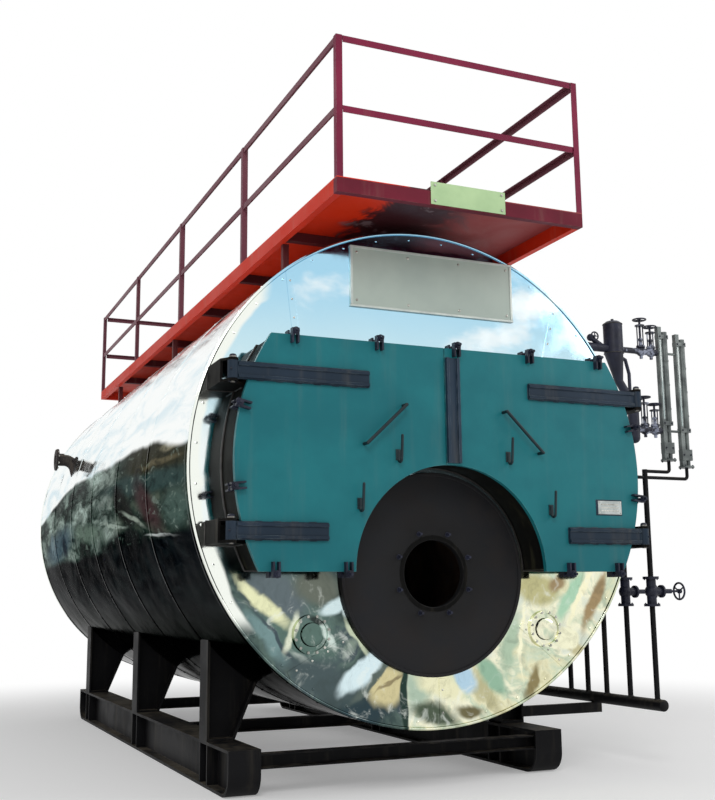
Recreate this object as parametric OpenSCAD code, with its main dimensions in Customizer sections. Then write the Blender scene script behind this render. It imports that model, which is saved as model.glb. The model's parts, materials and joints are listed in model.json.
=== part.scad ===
/* [Drum] */
// Outer radius of the polished jacket
drum_r = 1750; // [1700:10:1850]
// Length of the jacket from the front face to the rear face
drum_len = 6800; // [6300:50:7300]
// Height of the drum's axis above the floor
axis_h = 2180; // [2130:10:2300]
// Jacket wall: sheet, insulation and pressure shell together
jacket_t = 120; // [80:5:160]
// Thickness of the front and rear cladding plates
cladding_t = 20; // [10:1:30]
// Thickness of the two tube plates
plate_t = 30; // [20:1:40]
// Distance from the front face to the rear tube plate
rear_plate_y = 5900; // [5500:50:6200]

/* [Furnace and fire tubes] */
// Drop of the furnace axis below the drum axis
furnace_drop = 705; // [690:5:720]
// Inner radius of the furnace tube
furnace_r = 550; // [450:10:600]
// Wall of the furnace tube
furnace_wall = 16; // [12:1:22]
// Length of the furnace tube behind the front tube plate
furnace_len = 4900; // [4000:50:5400]
// Outer radius of a fire tube
tube_r = 44.5; // [38:0.5:51]
// Wall of a fire tube
tube_wall = 4; // [3:0.5:6]
// Pitch of the fire tubes
tube_pitch = 165; // [150:5:200]
// Length of each fire tube end that stands out of its plate
tube_end = 8; // [4:1:12]

/* [Burner opening] */
// Radius of the burner plate
burner_plate_r = 700; // [680:5:705]
// Thickness of the burner plate
burner_plate_t = 50; // [40:1:60]
// Distance that the burner plate stands out of the front face
burner_plate_out = 30; // [20:1:40]
// Radius of the hole for the burner tube
burner_bore_r = 230; // [200:5:260]
// Pitch circle radius of the burner studs' holes
burner_stud_pcr = 290; // [280:5:320]
// Number of burner stud holes
burner_stud_n = 8; // [6:2:12]
// Radius of a burner stud hole
burner_stud_r = 11; // [8:0.5:13]

/* [Smokebox and doors] */
// Radius of the doors' curved sides about the drum axis
door_r = 1540; // [1520:5:1545]
// Height of the doors' flat top above the drum axis
door_top = 825; // [780:5:860]
// Depth of the doors' flat bottom below the drum axis
door_bottom = 700; // [680:5:705]
// Radius of the doors' round cut-out over the burner plate
door_cut_r = 720; // [715:1:740]
// Distance from the front face to the seat that the doors close on
seat_out = 294; // [260:2:320]
// Gap between the seat and a closed door
door_gap = 6; // [5:0.5:10]
// Thickness of a door plate
door_t = 36; // [28:1:44]
// Place of the split between the doors, left of the drum axis
split_x = -45; // [-60:1:-42]
// Width of the split between the doors
split_w = 6; // [5:0.5:10]
// Distance that the smokebox wall lies inside the doors' outline
wall_inset = 20; // [12:1:26]
// Thickness of the smokebox wall
wall_t = 12; // [8:1:16]
// Width of the seat flange inside the smokebox wall
seat_w = 70; // [50:2:80]
// Thickness of the seat flange
seat_t = 16; // [10:1:20]
// Thickness of the refractory lining on the back of a door
lining_t = 60; // [40:2:80]
// Gap between the lining's edge and the seat flange
lining_gap = 20; // [12:1:30]

/* [Door hinges and straps] */
// Distance of each hinge axis from the drum axis
hinge_x = 1560; // [1555:1:1575]
// Height of the upper straps above the drum axis
strap_top_z = 560; // [520:5:600]
// Depth of the lower straps below the drum axis
strap_low_z = 450; // [400:5:480]
// Width of a strap
strap_w = 115; // [90:5:130]
// Thickness of a strap
strap_t = 20; // [14:1:26]
// Distance from the drum axis to the inner end of an upper strap
strap_top_in = 620; // [560:10:700]
// Distance from the drum axis to the inner end of a lower strap
strap_low_in = 915; // [860:5:960]
// Outer radius of a hinge eye
eye_r = 34; // [30:1:38]
// Radius of a hinge pin
pin_r = 16; // [12:1:18]
// Running clearance between a pin and its eye
pin_play = 0.05; // [0.02:0.01:0.08]
// Thickness of a hinge lug
lug_t = 16; // [12:1:20]
// Gap between a hinge eye and the lugs beside it
lug_gap = 2; // [1:0.5:4]
// Distance from the drum axis to the outer face of a hinge bracket
bracket_out = 1628; // [1618:1:1629]

/* [Door fittings] */
// Width of the strip beside the split
strip_w = 100; // [80:2:110]
// Distance that the strip stands out of the door
strip_out = 30; // [20:1:40]
// Radius of the bar of a door handle
grip_r = 11; // [8:0.5:14]
// Clear space behind a door handle's bar
grip_space = 50; // [40:1:70]
// Radius of the rod of a door hook
hook_r = 9; // [7:0.5:12]
// Length of a door hook's tip
hook_tip = 150; // [110:5:180]
// Lean of a hook's tip away from the door
hook_lean = 6; // [0:1:10]
// Thickness of the ears of a clamp
ear_t = 12; // [8:1:16]
// Gap between the two ears of a clamp
ear_gap = 26; // [24:1:34]
// Length of the ears on the door face
ear_in = 60; // [50:1:70]
// Distance that a clamp's ears stand out of the door face
ear_out = 40; // [30:1:50]
// Radius of a clamp bolt
bolt_r = 10; // [8:0.5:11]
// Distance of a clamp bolt outside the door's edge
bolt_off = 18; // [16:0.5:22]

/* [Skid] */
// Distance of each runner's centre from the middle
runner_x = 1200; // [1150:5:1230]
// Width of a runner's flanges
runner_w = 230; // [200:5:260]
// Height of a runner
runner_h = 315; // [280:5:350]
// Start of the runners behind the front face
runner_start = 460; // [400:10:600]
// Length of a runner
runner_len = 5770; // [5600:10:6000]
// Radius of a runner's rounded lower ends
runner_end_r = 150; // [100:5:200]
// Thickness of a runner's flanges
flange_t = 20; // [14:1:26]
// Thickness of a runner's web
web_t = 60; // [40:2:100]
// Height of a cross beam
cross_h = 100; // [80:5:120]
// Width of a cross beam
cross_w = 90; // [70:5:110]
// Height of the cross beams' middle above the middle of the room under the drum
cross_up = 15; // [0:5:20]
// Distance of a leg's outer face from the middle
leg_out = 1315; // [1290:5:1330]
// Width of a leg where it stands on the runner
leg_foot = 205; // [180:5:230]
// Slope of a leg's inner edge, sideways for each unit of height
leg_slope = 0.42; // [0.3:0.01:0.55]
// Depth of a leg along the drum
leg_deep = 200; // [160:5:240]
// Thickness of a leg's plates
leg_t = 18; // [12:1:24]

/* [Walkway] */
// Distance that the walkway stands out in front of the front face
walk_out = 620; // [560:10:680]
// Length of the walkway
walk_len = 8130; // [8000:10:8300]
// Half the width of the walkway
walk_half = 955; // [920:5:990]
// Height of the walkway's top above the top of the drum
deck_up = 90; // [85:5:210]
// Thickness of the deck plate
deck_t = 6; // [4:1:10]
// Height of the walkway's side beams
side_h = 100; // [80:5:120]
// Width of the walkway's side beams
side_w = 50; // [40:2:60]
// Height of the beams across the walkway
beam_h = 70; // [50:5:80]
// Width of the beams across the walkway
beam_w = 60; // [40:2:80]
// Height of the handrail's top above the deck
rail_h = 1000; // [900:10:1100]
// Height of the middle rail above the deck
mid_rail_h = 500; // [450:10:550]
// Width of the angle that posts and rails are made of
angle_w = 46; // [40:1:60]
// Thickness of that angle
angle_t = 6; // [5:0.5:8]
// Number of bays between the posts along a side
bays = 4; // [3:1:6]

/* [Steam and flue outlets] */
// Outer radius of the steam outlet pipe
steam_r = 109.5; // [84:0.5:115]
// Radius of the steam flange
steam_flange_r = 170; // [165:1:190]
// Pitch circle radius of the steam flange's holes
steam_pcr = 147.5; // [140:0.5:150]
// Wall of the steam outlet pipe
steam_wall = 8; // [6:0.5:12]
// Height of the steam flange's face above the drum's top
steam_up = 400; // [340:10:450]
// Distance of the steam outlet behind the front face
steam_y = 3200; // [2600:50:3600]
// Distance from the steam outlet to the nearest beam across the walkway
beam_near = 312; // [280:4:360]
// Inner radius of the flue outlet
flue_r = 340; // [300:10:360]
// Wall of the flue outlet
flue_wall = 6; // [4:1:10]
// Width of the flue outlet's flange
flue_flange_w = 50; // [40:2:60]
// Height of the flue outlet's axis above the drum axis
flue_z = 620; // [500:10:700]
// Length of the flue outlet behind the rear face
flue_len = 320; // [250:10:400]

/* [Feed inlet] */
// Outer radius of the feed inlet pipe
feed_r = 69.85; // [57:0.05:76]
// Wall of the feed inlet pipe
feed_wall = 4.5; // [4:0.5:8]
// Radius of the feed inlet's flange
feed_flange_r = 125; // [120:1:140]
// Pitch circle radius of the feed flange's holes
feed_pcr = 105; // [95:0.5:110]
// Bend radius of the feed inlet's elbows
feed_bend = 190; // [180:5:230]
// Place of the feed inlet, left of the drum axis
feed_x = 1250; // [1150:10:1300]
// Height of the feed inlet where it leaves the rear face
feed_z = 450; // [350:10:500]

/* [Level column and gauges] */
// Distance of the column and gauges behind the front face
fit_y = 200; // [150:5:260]
// Distance of the level column from the middle
column_x = 1790; // [1760:5:1830]
// Radius of the level chamber
chamber_r = 77; // [65:1:90]
// Height of the level chamber's foot above the drum axis
chamber_low = 1040; // [1020:5:1060]
// Height of the level chamber's head above the drum axis
chamber_top = 1290; // [1260:5:1330]
// Radius of the sloping pipe below the chamber
slope_r = 34; // [28:1:44]
// Distance of the tee under the sloping pipe from the middle
tee_x = 1950; // [1930:5:1960]
// Radius of the tee
tee_r = 45; // [38:1:48]
// Radius of the thin pipe beside the sloping pipe
bypass_r = 14; // [10:0.5:17]
// Height of the upper gauge pipe above the drum axis
upper_z = 1085; // [1070:5:1100]
// Height of the lower gauge pipe above the drum axis
lower_z = 440; // [420:5:460]
// Radius of the gauge pipes
gauge_pipe_r = 17; // [13:0.5:21]
// Distances of the two gauges from the middle
gauge_x = [2275, 2452];
// Heights of the two gauges' lower ends above the drum axis
gauge_low = [195, 145];
// Length of a gauge
gauge_len = 1110; // [1000:10:1150]
// Half the width of a gauge
gauge_half = 50; // [44:1:50]
// Width of the bar that carries a gauge's tube
gauge_bar = 36; // [28:1:44]
// Radius of a gauge's tube
gauge_tube_r = 27; // [22:0.5:29]
// Radius of the flange under a gauge
gauge_flange_r = 62; // [54:1:70]
// Distances of the gauge valves from the middle
valve_x = [2060, 2160];
// Radius of a gauge valve's body
valve_r = 40; // [34:1:44]
// Height of the inner gauge valves' wheels above their pipe
valve_up = 265; // [250:5:285]
// Height of the outer gauge valves' wheels above their pipe
valve_up_outer = 213; // [200:1:225]
// Radius of a gauge valve's wheel
wheel_r = 58; // [50:1:59]

/* [Drains] */
// Distance of the drain header from the middle
header_x = 2030; // [2000:5:2060]
// Height of the drain header above the floor
header_up = 480; // [460:5:500]
// Radius of the drain header
header_r = 44.5; // [38:0.5:57]
// Start of the drain header behind the front face
header_start = 130; // [80:5:150]
// Length of the drain header
header_len = 3450; // [3300:10:3700]
// Radius of the upright drain pipes
drain_r = 21; // [18:0.5:26]
// Distances behind the front face of the drain pipes that come out of the drum
drain_y = [530, 840, 1100, 1350];
// Height of the first drain pipe where it leaves the drum
drain_z = -450; // [-480:5:-420]
// Distance that the other drain pipes leave the drum lower
drain_fall = 50; // [0:5:60]
// Depth of the drain valves' middle below the drum axis
drain_valve_drop = 840; // [800:5:880]
// Distance between a drain valve's flange faces
drain_valve_len = 230; // [200:5:260]
// Radius of a drain valve's flanges
drain_flange_r = 62; // [56:1:72]
// Reach of a drain valve's spindle to its wheel
drain_valve_reach = 270; // [240:5:290]
// Radius of a drain valve's wheel
drain_wheel_r = 72; // [60:1:90]
// Radius of the small pipes below the gauges
small_r = 13.5; // [10:0.5:17]

/* [Hidden] */
$fn = 64;
play = 0.3;

reach_right = gauge_x[1] + gauge_flange_r;
mid_x = (reach_right - drum_r) / 2;
mid_y = walk_len / 2 - walk_out;
shell_in = drum_r - jacket_t;
plate_y = cladding_t;
door_back = seat_out + door_gap;
door_front = door_back + door_t;
hinge_y = door_front + strap_t / 2;
lining_inset = wall_inset + seat_w + lining_gap;
floor_z = -axis_h;
runner_top = floor_z + runner_h;
leg_y = [1090, 3380, 5770];
cross_first = runner_start + flange_t + cross_w / 2 + play;
cross_y = [cross_first, 2600, 4950];
cross_z = floor_z + (axis_h - drum_r) / 2 + cross_up;
walk_leg_y = [550, 3850, 6550];
walk_leg_x = 890;
handhole_r = 130;
handhole_at = [[-900, -1100], [900, -1100]];
wheel_stem_r = 9;
stem_play = 0.05;
stem_foot = 60;
drain_stem_foot = 80;
gauge_turn = 90;

top_clamps = [-1146, -544, 42, 634, 1219];
low_clamps = [-1271, -780, 913, 1322];
side_clamps = [345, -175];
left_grip = [[-366, 400], [-655, 129]];
right_grip = [[410, 398], [692, 121]];
left_hooks = [[-408, 40], [-690, -290]];
right_hooks = [[440, 60], [775, -300]];

tube_cols = ceil(door_r / tube_pitch);
tube_clear = lining_inset + tube_r;
deck_z = drum_r + deck_up;
walk_low = deck_z - deck_t - side_h;
beam_front = (steam_y - beam_near + walk_out) / 3;
beam_rear = (walk_len - walk_out - steam_y) / 4;
beam_y = [
    for (i = [0 : 2]) steam_y - beam_near - i * beam_front,
    for (i = [1 : 3]) steam_y + i * beam_rear
];
post_y = [for (i = [0 : bays]) -walk_out + i * walk_len / bays];
valve_z = -drain_valve_drop;
header_z = floor_z + header_up;

// Height of the drum's surface at a distance x from its axis
function drum_z(x) = sqrt(drum_r * drum_r - x * x);

// Everything is drawn from the drum axis at the front face, then set on the floor
// with the origin under the middle of the whole boiler
module in_place() {
    translate([-mid_x, -mid_y, axis_h]) children();
}

// A flat outline facing the front, from y1 to y2, with its x and z as drawn
module facing(y1, y2) {
    translate([0, y2, 0]) rotate([90, 0, 0]) linear_extrude(y2 - y1) children();
}

// A round bar along the drum
module along(x, z, y1, y2, r) {
    translate([x, y1, z]) rotate([-90, 0, 0]) cylinder(h = y2 - y1, r = r);
}

// A round bar across the drum
module across(x1, x2, y, z, r) {
    translate([x1, y, z]) rotate([0, 90, 0]) cylinder(h = x2 - x1, r = r);
}

// A quarter bend of a bar or tube, in its own plane
module quarter(bend, r, inner = 0) {
    rotate_extrude(angle = 90) translate([bend, 0]) difference() {
        circle(r = r);
        if (inner > 0) circle(r = inner);
    }
}

// The doors' common outline, set in by an amount all round
module door_outline(inset = 0) {
    difference() {
        intersection() {
            circle(r = door_r - inset, $fn = 180);
            translate([-door_r, -door_bottom + inset])
                square([2 * door_r, door_top + door_bottom - 2 * inset]);
        }
        translate([0, -furnace_drop]) circle(r = door_cut_r + inset, $fn = 120);
    }
}

// The half of the outline on one side of the split
module door_half(side, inset = 0, from_split = 0) {
    edge = split_x + side * (split_w / 2 + from_split);
    intersection() {
        door_outline(inset);
        translate([side > 0 ? edge : edge - 2 * door_r, -door_r]) square([2 * door_r, 2 * door_r]);
    }
}

module jacket() {
    color("gainsboro") in_place() difference() {
        along(0, 0, cladding_t, drum_len - cladding_t, drum_r, $fn = 180);
        along(0, 0, 0, drum_len, shell_in, $fn = 180);
        translate([0, steam_y, shell_in / 2]) cylinder(h = drum_r, r = steam_r + play);
    }
}

module front_cladding() {
    color("gainsboro") in_place() difference() {
        facing(0, cladding_t) circle(r = drum_r, $fn = 180);
        facing(-1, cladding_t + 1) door_outline(wall_inset - play);
        facing(-1, cladding_t + 1) translate([0, -furnace_drop])
            circle(r = burner_plate_r + play, $fn = 120);
    }
}

module rear_cladding() {
    color("gainsboro") in_place() difference() {
        facing(drum_len - cladding_t, drum_len) circle(r = drum_r, $fn = 180);
        facing(drum_len - cladding_t - 1, drum_len + 1) {
            translate([0, flue_z]) circle(r = flue_r + flue_wall + play);
            translate([-feed_x, feed_z]) circle(r = feed_r + play);
        }
    }
}

// Whether a fire tube fits at a place: inside the seat and clear of the furnace
function tube_fits(x, z) = norm([x, z]) < door_r - tube_clear
    && z < door_top - tube_clear
    && z > -door_bottom + tube_clear
    && norm([x, z + furnace_drop]) > door_cut_r + tube_clear;

// The places of the fire tubes, in rows with every second row half a pitch aside
tube_places = [
    for (row = [-tube_cols : tube_cols], col = [-tube_cols : tube_cols])
        let (
            x = (col + (row % 2 == 0 ? 0 : 0.5)) * tube_pitch,
            z = row * tube_pitch * sqrt(3) / 2
        )
        if (tube_fits(x, z)) [x, z]
];

module tube_plate(y) {
    facing(y, y + plate_t) difference() {
        circle(r = shell_in - play, $fn = 180);
        for (p = tube_places) translate(p) circle(r = tube_r + play, $fn = 32);
        children();
    }
}

module front_tube_plate() {
    color("dimgray") in_place() tube_plate(plate_y)
        translate([0, -furnace_drop]) circle(r = furnace_r + furnace_wall + play, $fn = 120);
}

module rear_tube_plate() {
    color("dimgray") in_place() tube_plate(rear_plate_y);
}

module fire_tubes() {
    color("slategray") in_place()
        for (p = tube_places) difference() {
            along(p[0], p[1], plate_y - tube_end, rear_plate_y + plate_t + tube_end, tube_r, $fn = 32);
            along(p[0], p[1], 0, drum_len, tube_r - tube_wall, $fn = 32);
        }
}

module furnace() {
    color("dimgray") in_place() translate([0, plate_y, -furnace_drop]) rotate([-90, 0, 0])
        rotate_extrude($fn = 120) difference() {
            square([furnace_r + furnace_wall, furnace_len]);
            translate([-1, -1]) square([furnace_r + 1, furnace_len - furnace_wall + 1]);
        }
}

module burner_plate() {
    color("dimgray") in_place() facing(-burner_plate_out, burner_plate_t - burner_plate_out)
        translate([0, -furnace_drop]) difference() {
            circle(r = burner_plate_r, $fn = 120);
            circle(r = burner_bore_r, $fn = 90);
            for (i = [0 : burner_stud_n - 1])
                rotate((i + 0.5) * 360 / burner_stud_n) translate([burner_stud_pcr, 0])
                    circle(r = burner_stud_r, $fn = 24);
        }
}

module smokebox() {
    color("darkolivegreen") in_place() {
        facing(-seat_out, plate_y) difference() {
            door_outline(wall_inset);
            door_outline(wall_inset + wall_t);
        }
        facing(-seat_out, -seat_out + seat_t) difference() {
            door_outline(wall_inset);
            door_outline(wall_inset + seat_w);
        }
    }
}

module left_door() {
    color("teal") in_place() facing(-door_front, -door_back) door_half(-1);
}

module right_door() {
    color("teal") in_place() facing(-door_front, -door_back) door_half(1);
}

module left_door_lining() {
    color("tan") in_place()
        facing(-door_back, -door_back + lining_t) door_half(-1, lining_inset, lining_gap);
}

module right_door_lining() {
    color("tan") in_place()
        facing(-door_back, -door_back + lining_t) door_half(1, lining_inset, lining_gap);
}

// A strap on the right-hand side, with its eye round the hinge pin
module strap(inner, z) {
    translate([0, -hinge_y, z]) difference() {
        union() {
            translate([inner, -strap_t / 2, -strap_w / 2])
                cube([hinge_x - inner, strap_t, strap_w]);
            for (side = [-1, 1])
                translate([inner, -strap_t, side * strap_w * 0.34 - strap_t / 2])
                    cube([hinge_x - eye_r - inner, strap_t, strap_t]);
            translate([hinge_x, 0, -strap_w / 2]) cylinder(h = strap_w, r = eye_r);
        }
        translate([hinge_x, 0, -strap_w]) cylinder(h = 2 * strap_w, r = pin_r + pin_play);
    }
}

module left_door_straps() {
    color("darkslategray") in_place() mirror([1, 0, 0]) {
        strap(strap_top_in, strap_top_z);
        strap(strap_low_in, -strap_low_z);
    }
}

module right_door_straps() {
    color("darkslategray") in_place() {
        strap(strap_top_in, strap_top_z);
        strap(strap_low_in, -strap_low_z);
    }
}

// The plan of a hinge lug: an eye that widens back to the front face
module lug_plan() {
    translate([hinge_x, -hinge_y]) circle(r = eye_r);
    polygon([[hinge_x - eye_r, -hinge_y], [hinge_x - eye_r, -seat_out],
             [hinge_x - seat_out, -seat_out / 2], [hinge_x - seat_out, 0], [bracket_out, 0],
             [bracket_out, -seat_out], [hinge_x + eye_r, -hinge_y]]);
}

// The channel that holds one hinge pin, on the right-hand side: two lugs and a web
module hinge_bracket(z) {
    lug_from = strap_w / 2 + lug_gap;
    tall = 2 * (lug_from + lug_t);
    difference() {
        translate([0, 0, z - tall / 2]) {
            for (up = [0, tall - lug_t]) translate([0, 0, up]) linear_extrude(lug_t) lug_plan();
            translate([bracket_out - lug_t, -seat_out, 0]) cube([lug_t, seat_out, tall]);
        }
        translate([hinge_x, -hinge_y, z - tall]) cylinder(h = 2 * tall, r = pin_r + pin_play);
        along(0, 0, -2 * seat_out, drum_len, door_r - wall_inset, $fn = 180);
    }
}

module hinge_brackets() {
    color("darkslategray") in_place()
        for (side = [0, 1], z = [strap_top_z, -strap_low_z])
            mirror([side, 0, 0]) hinge_bracket(z);
}

module hinge_pins() {
    pin_len = strap_w + 2 * lug_gap + 2 * lug_t + 16;
    color("silver") in_place()
        for (side = [-1, 1], z = [strap_top_z, -strap_low_z])
            translate([side * hinge_x, -hinge_y, z - pin_len / 2]) {
                cylinder(h = pin_len, r = pin_r);
                translate([0, 0, pin_len - 8]) cylinder(h = 10, r = pin_r + 8);
            }
}

module centre_strip() {
    low = door_cut_r - furnace_drop + 12;
    high = door_top - ear_in - 10;
    left = split_x + split_w / 2 + 2;
    color("darkslategray") in_place()
        translate([left, -door_front - strip_out, low]) difference() {
            cube([strip_w, strip_out, high - low]);
            translate([strip_w * 0.2, -1, -1])
                cube([strip_w * 0.6, strip_out * 0.6 + 1, high - low + 2]);
        }
}

// A bar handle between two places on a door face
module grip(from, to) {
    run = norm(to - from);
    turn = atan2(to[1] - from[1], to[0] - from[0]);
    depth = grip_space + grip_r;
    translate([from[0], -door_front, from[1]]) rotate([90, 0, 0]) rotate(turn) {
        for (x = [0, run]) translate([x, 0, 0]) cylinder(h = depth, r = grip_r);
        translate([0, 0, depth]) rotate([0, 90, 0]) cylinder(h = run, r = grip_r);
        for (x = [0, run]) translate([x, 0, depth]) sphere(r = grip_r);
    }
}

// A hook of round rod: a short shank on a plate at the door, a bend and a long tip
module hook(at) {
    bend = 2.6 * hook_r;
    shank = 6 * hook_r;
    plate_t = hook_r * 0.8;
    translate([at[0], -door_front, at[1]]) {
        translate([-2 * hook_r, -plate_t, -hook_r]) cube([4 * hook_r, plate_t, shank + 2 * hook_r]);
        translate([0, -hook_r, 0]) cylinder(h = shank, r = hook_r);
        translate([0, -hook_r - bend, 0]) rotate([0, 0, 90]) rotate([-90, 0, 0])
            rotate_extrude(angle = 180) translate([bend, 0]) circle(r = hook_r);
        translate([0, -hook_r - 2 * bend, 0]) rotate([hook_lean, 0, 0]) {
            cylinder(h = hook_tip, r = hook_r);
            sphere(r = hook_r);
            translate([0, 0, hook_tip]) sphere(r = hook_r);
        }
    }
}

module left_door_handles() {
    color("darkslategray") in_place() {
        grip(left_grip[0], left_grip[1]);
        for (at = left_hooks) hook(at);
    }
}

module right_door_handles() {
    color("darkslategray") in_place() {
        grip(right_grip[0], right_grip[1]);
        for (at = right_hooks) hook(at);
    }
}

// One clamp on the door: two ears, a bolt between them and its nut. It is drawn
// at the top edge of a door and pointed outward
module clamp() {
    nut_t = 18;
    washer_t = 5;
    bolt_end = 24;
    for (side = [-1, 1])
        translate([side * (ear_gap + ear_t) / 2 - ear_t / 2, -door_front - ear_out, -ear_in])
            cube([ear_t, ear_out, ear_in + bolt_off + 2 * bolt_r]);
    translate([0, -door_back, bolt_off]) rotate([90, 0, 0])
        cylinder(h = door_t + ear_out + nut_t + bolt_end, r = bolt_r, $fn = 32);
    translate([0, -door_front - ear_out, bolt_off]) rotate([90, 0, 0]) {
        cylinder(h = washer_t, r = ear_gap / 2 + ear_t, $fn = 32);
        cylinder(h = nut_t, r = ear_gap / 2 + ear_t * 0.6, $fn = 6);
    }
}

// The lug on the smokebox behind one clamp
module clamp_lug() {
    reach = wall_inset + bolt_off + 2 * bolt_r;
    root = 4;
    deep = 60;
    for (side = [-1, 1])
        translate([side * (ear_gap + ear_t) / 2 - ear_t / 2, -seat_out, -wall_inset - root])
            cube([ear_t, deep, reach + root]);
    translate([-ear_gap / 2 - ear_t, -seat_out + deep / 2, bolt_off]) rotate([0, 90, 0])
        cylinder(h = ear_gap + 2 * ear_t, r = bolt_r, $fn = 32);
}

// The children at each clamp's place on one side of the split, or on both for 0
module at_clamps(side) {
    for (x = top_clamps) if (side * (x - split_x) >= 0) translate([x, 0, door_top]) children();
    for (x = low_clamps) if (side * (x - split_x) >= 0)
        translate([x, 0, -door_bottom]) rotate([0, 180, 0]) children();
    for (way = [-1, 1], z = side_clamps) if (side * way >= 0)
        rotate([0, way * (90 - asin(z / door_r)), 0]) translate([0, 0, door_r]) children();
}

module left_door_clamps() {
    color("midnightblue") in_place() at_clamps(-1) clamp();
}

module right_door_clamps() {
    color("midnightblue") in_place() at_clamps(1) clamp();
}

module clamp_lugs() {
    color("midnightblue") in_place() difference() {
        at_clamps(0) clamp_lug();
        facing(-2 * seat_out, 0) door_outline(wall_inset);
    }
}

module handhole_covers() {
    color("silver") in_place() for (p = handhole_at)
        translate([p[0], 0, p[1]]) rotate([90, 0, 0]) rotate_extrude() difference() {
            union() {
                square([handhole_r, 12]);
                translate([handhole_r - 22, 0]) square([22, 22]);
            }
            translate([-1, 16]) square([handhole_r * 0.4, 30]);
        }
}

// The side view of a runner, with its lower ends rounded
module sled(inset = 0) {
    low = floor_z + inset;
    tall = runner_h - 2 * inset;
    first = runner_start + inset;
    long = runner_len - 2 * inset;
    bend = runner_end_r - inset;
    translate([first, low + bend]) square([long, tall - bend]);
    translate([first + bend, low]) square([long - 2 * bend, tall]);
    for (y = [first + bend, first + long - bend]) translate([y, low + bend]) circle(r = bend);
}

// A slab whose outline is drawn in y and z, centred on x
module upright(x, w) {
    translate([x - w / 2, 0, 0]) rotate([90, 0, 90]) linear_extrude(w) children();
}

module runner(x) {
    upright(x, web_t) sled(flange_t / 2);
    upright(x, runner_w) difference() {
        sled();
        sled(flange_t);
    }
    for (y = leg_y, way = [-1, 1])
        translate([x - runner_w / 2 + 4, y + way * (leg_deep / 2 - leg_t / 2) - leg_t / 2,
                   floor_z + flange_t / 2])
            cube([runner_w - 8, leg_t, runner_h - flange_t]);
}

module left_skid() {
    color("black") in_place() runner(-runner_x);
}

module right_skid() {
    color("black") in_place() runner(runner_x);
}

module cross_beams() {
    span = runner_x - web_t / 2;
    wall = flange_t / 2;
    color("black") in_place() for (y = cross_y) translate([-span, y - cross_w / 2, cross_z - cross_h / 2])
        difference() {
            cube([2 * span, cross_w, cross_h]);
            translate([-1, -1, wall]) cube([2 * span + 2, cross_w - wall + 1, cross_h - 2 * wall]);
        }
}

// The face view of a leg on the right-hand side, before the drum is cut away.
// A plate's thickness leaves the outline that lies inside the flange and foot plates
module leg_face(plate = 0) {
    low = runner_top + plate;
    high = runner_top + drum_r;
    outer = leg_out - plate;
    foot_in = leg_out - leg_foot + plate / cos(atan(leg_slope));
    polygon([[outer, low], [outer, high],
             [foot_in - leg_slope * (high - runner_top), high],
             [foot_in - leg_slope * plate, low]]);
}

// One leg on the right-hand side: a web plate between flange plates, and a foot plate
module saddle_leg(y) {
    difference() {
        facing(y - leg_deep / 2, y + leg_deep / 2) leg_face();
        for (side = [-1, 1])
            translate([0, side * (leg_deep + leg_t) / 2, 0])
                facing(y - leg_deep / 2, y + leg_deep / 2) leg_face(leg_t);
        along(0, 0, 0, drum_len, drum_r, $fn = 180);
    }
}

module saddle_legs() {
    color("black") in_place() for (side = [0, 1], y = leg_y)
        mirror([side, 0, 0]) saddle_leg(y);
}

module walkway_frame() {
    color("firebrick") in_place() {
        for (x = [-walk_half, walk_half - side_w])
            translate([x, -walk_out, walk_low]) cube([side_w, walk_len, side_h]);
        for (y = [-walk_out, walk_len - walk_out - side_w])
            translate([-walk_half + side_w + play, y, walk_low])
                cube([2 * (walk_half - side_w - play), side_w, side_h]);
    }
}

module walkway_beams() {
    color("maroon") in_place() for (y = beam_y)
        translate([-walk_half + side_w, y - beam_w / 2, deck_z - deck_t - beam_h])
            cube([2 * (walk_half - side_w), beam_w, beam_h]);
}

module walkway_deck() {
    color("orangered") in_place() difference() {
        translate([-walk_half, -walk_out, deck_z - deck_t]) cube([2 * walk_half, walk_len, deck_t]);
        translate([0, steam_y, deck_z - 50]) cylinder(h = 100, r = steam_flange_r + 20);
    }
}

module walkway_legs() {
    color("maroon") in_place() for (side = [-1, 1], y = walk_leg_y) difference() {
        translate([side * walk_leg_x - angle_w / 2, y - angle_w / 2, drum_z(walk_leg_x) - angle_w])
            cube([angle_w, angle_w, walk_low - drum_z(walk_leg_x) + angle_w]);
        along(0, 0, 0, drum_len, drum_r, $fn = 180);
    }
}

// Angle section with its corner at the origin and its legs along +x and +y
module angle_section() {
    difference() {
        square(angle_w);
        translate([angle_t, angle_t]) square(angle_w);
    }
}

// A post of angle standing on the deck, with its corner outward
module post(x, y) {
    translate([x, y, deck_z]) mirror([x > 0 ? 1 : 0, 0, 0])
        mirror([0, y > mid_y ? 1 : 0, 0]) linear_extrude(rail_h) angle_section();
}

module rail_posts() {
    color("brown") in_place() for (x = [-walk_half, walk_half], y = post_y) post(x, y);
}

// A rail of angle along one side, cut to fit between one post and the next
module side_rail(z) {
    for (i = [0 : bays - 1]) {
        from = post_y[i] + (post_y[i] > mid_y ? 0 : angle_t) + play;
        to = post_y[i + 1] - (post_y[i + 1] > mid_y ? angle_t : 0) - play;
        translate([-walk_half + angle_t, from, deck_z + z]) rotate([-90, 0, 0])
            linear_extrude(to - from) angle_section();
    }
}

module side_rails() {
    color("brown") in_place() for (side = [0, 1], z = [mid_rail_h, rail_h])
        mirror([side, 0, 0]) side_rail(z);
}

module end_rails() {
    inner = walk_half - angle_t - angle_w - play;
    color("brown") in_place() for (z = [mid_rail_h, rail_h], y = [0, 1])
        translate([0, y * 2 * mid_y, 0]) mirror([0, y, 0])
            translate([-inner, -walk_out + angle_t, deck_z + z]) rotate([90, 0, 90])
                linear_extrude(2 * inner) mirror([0, 1, 0]) angle_section();
}

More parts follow.
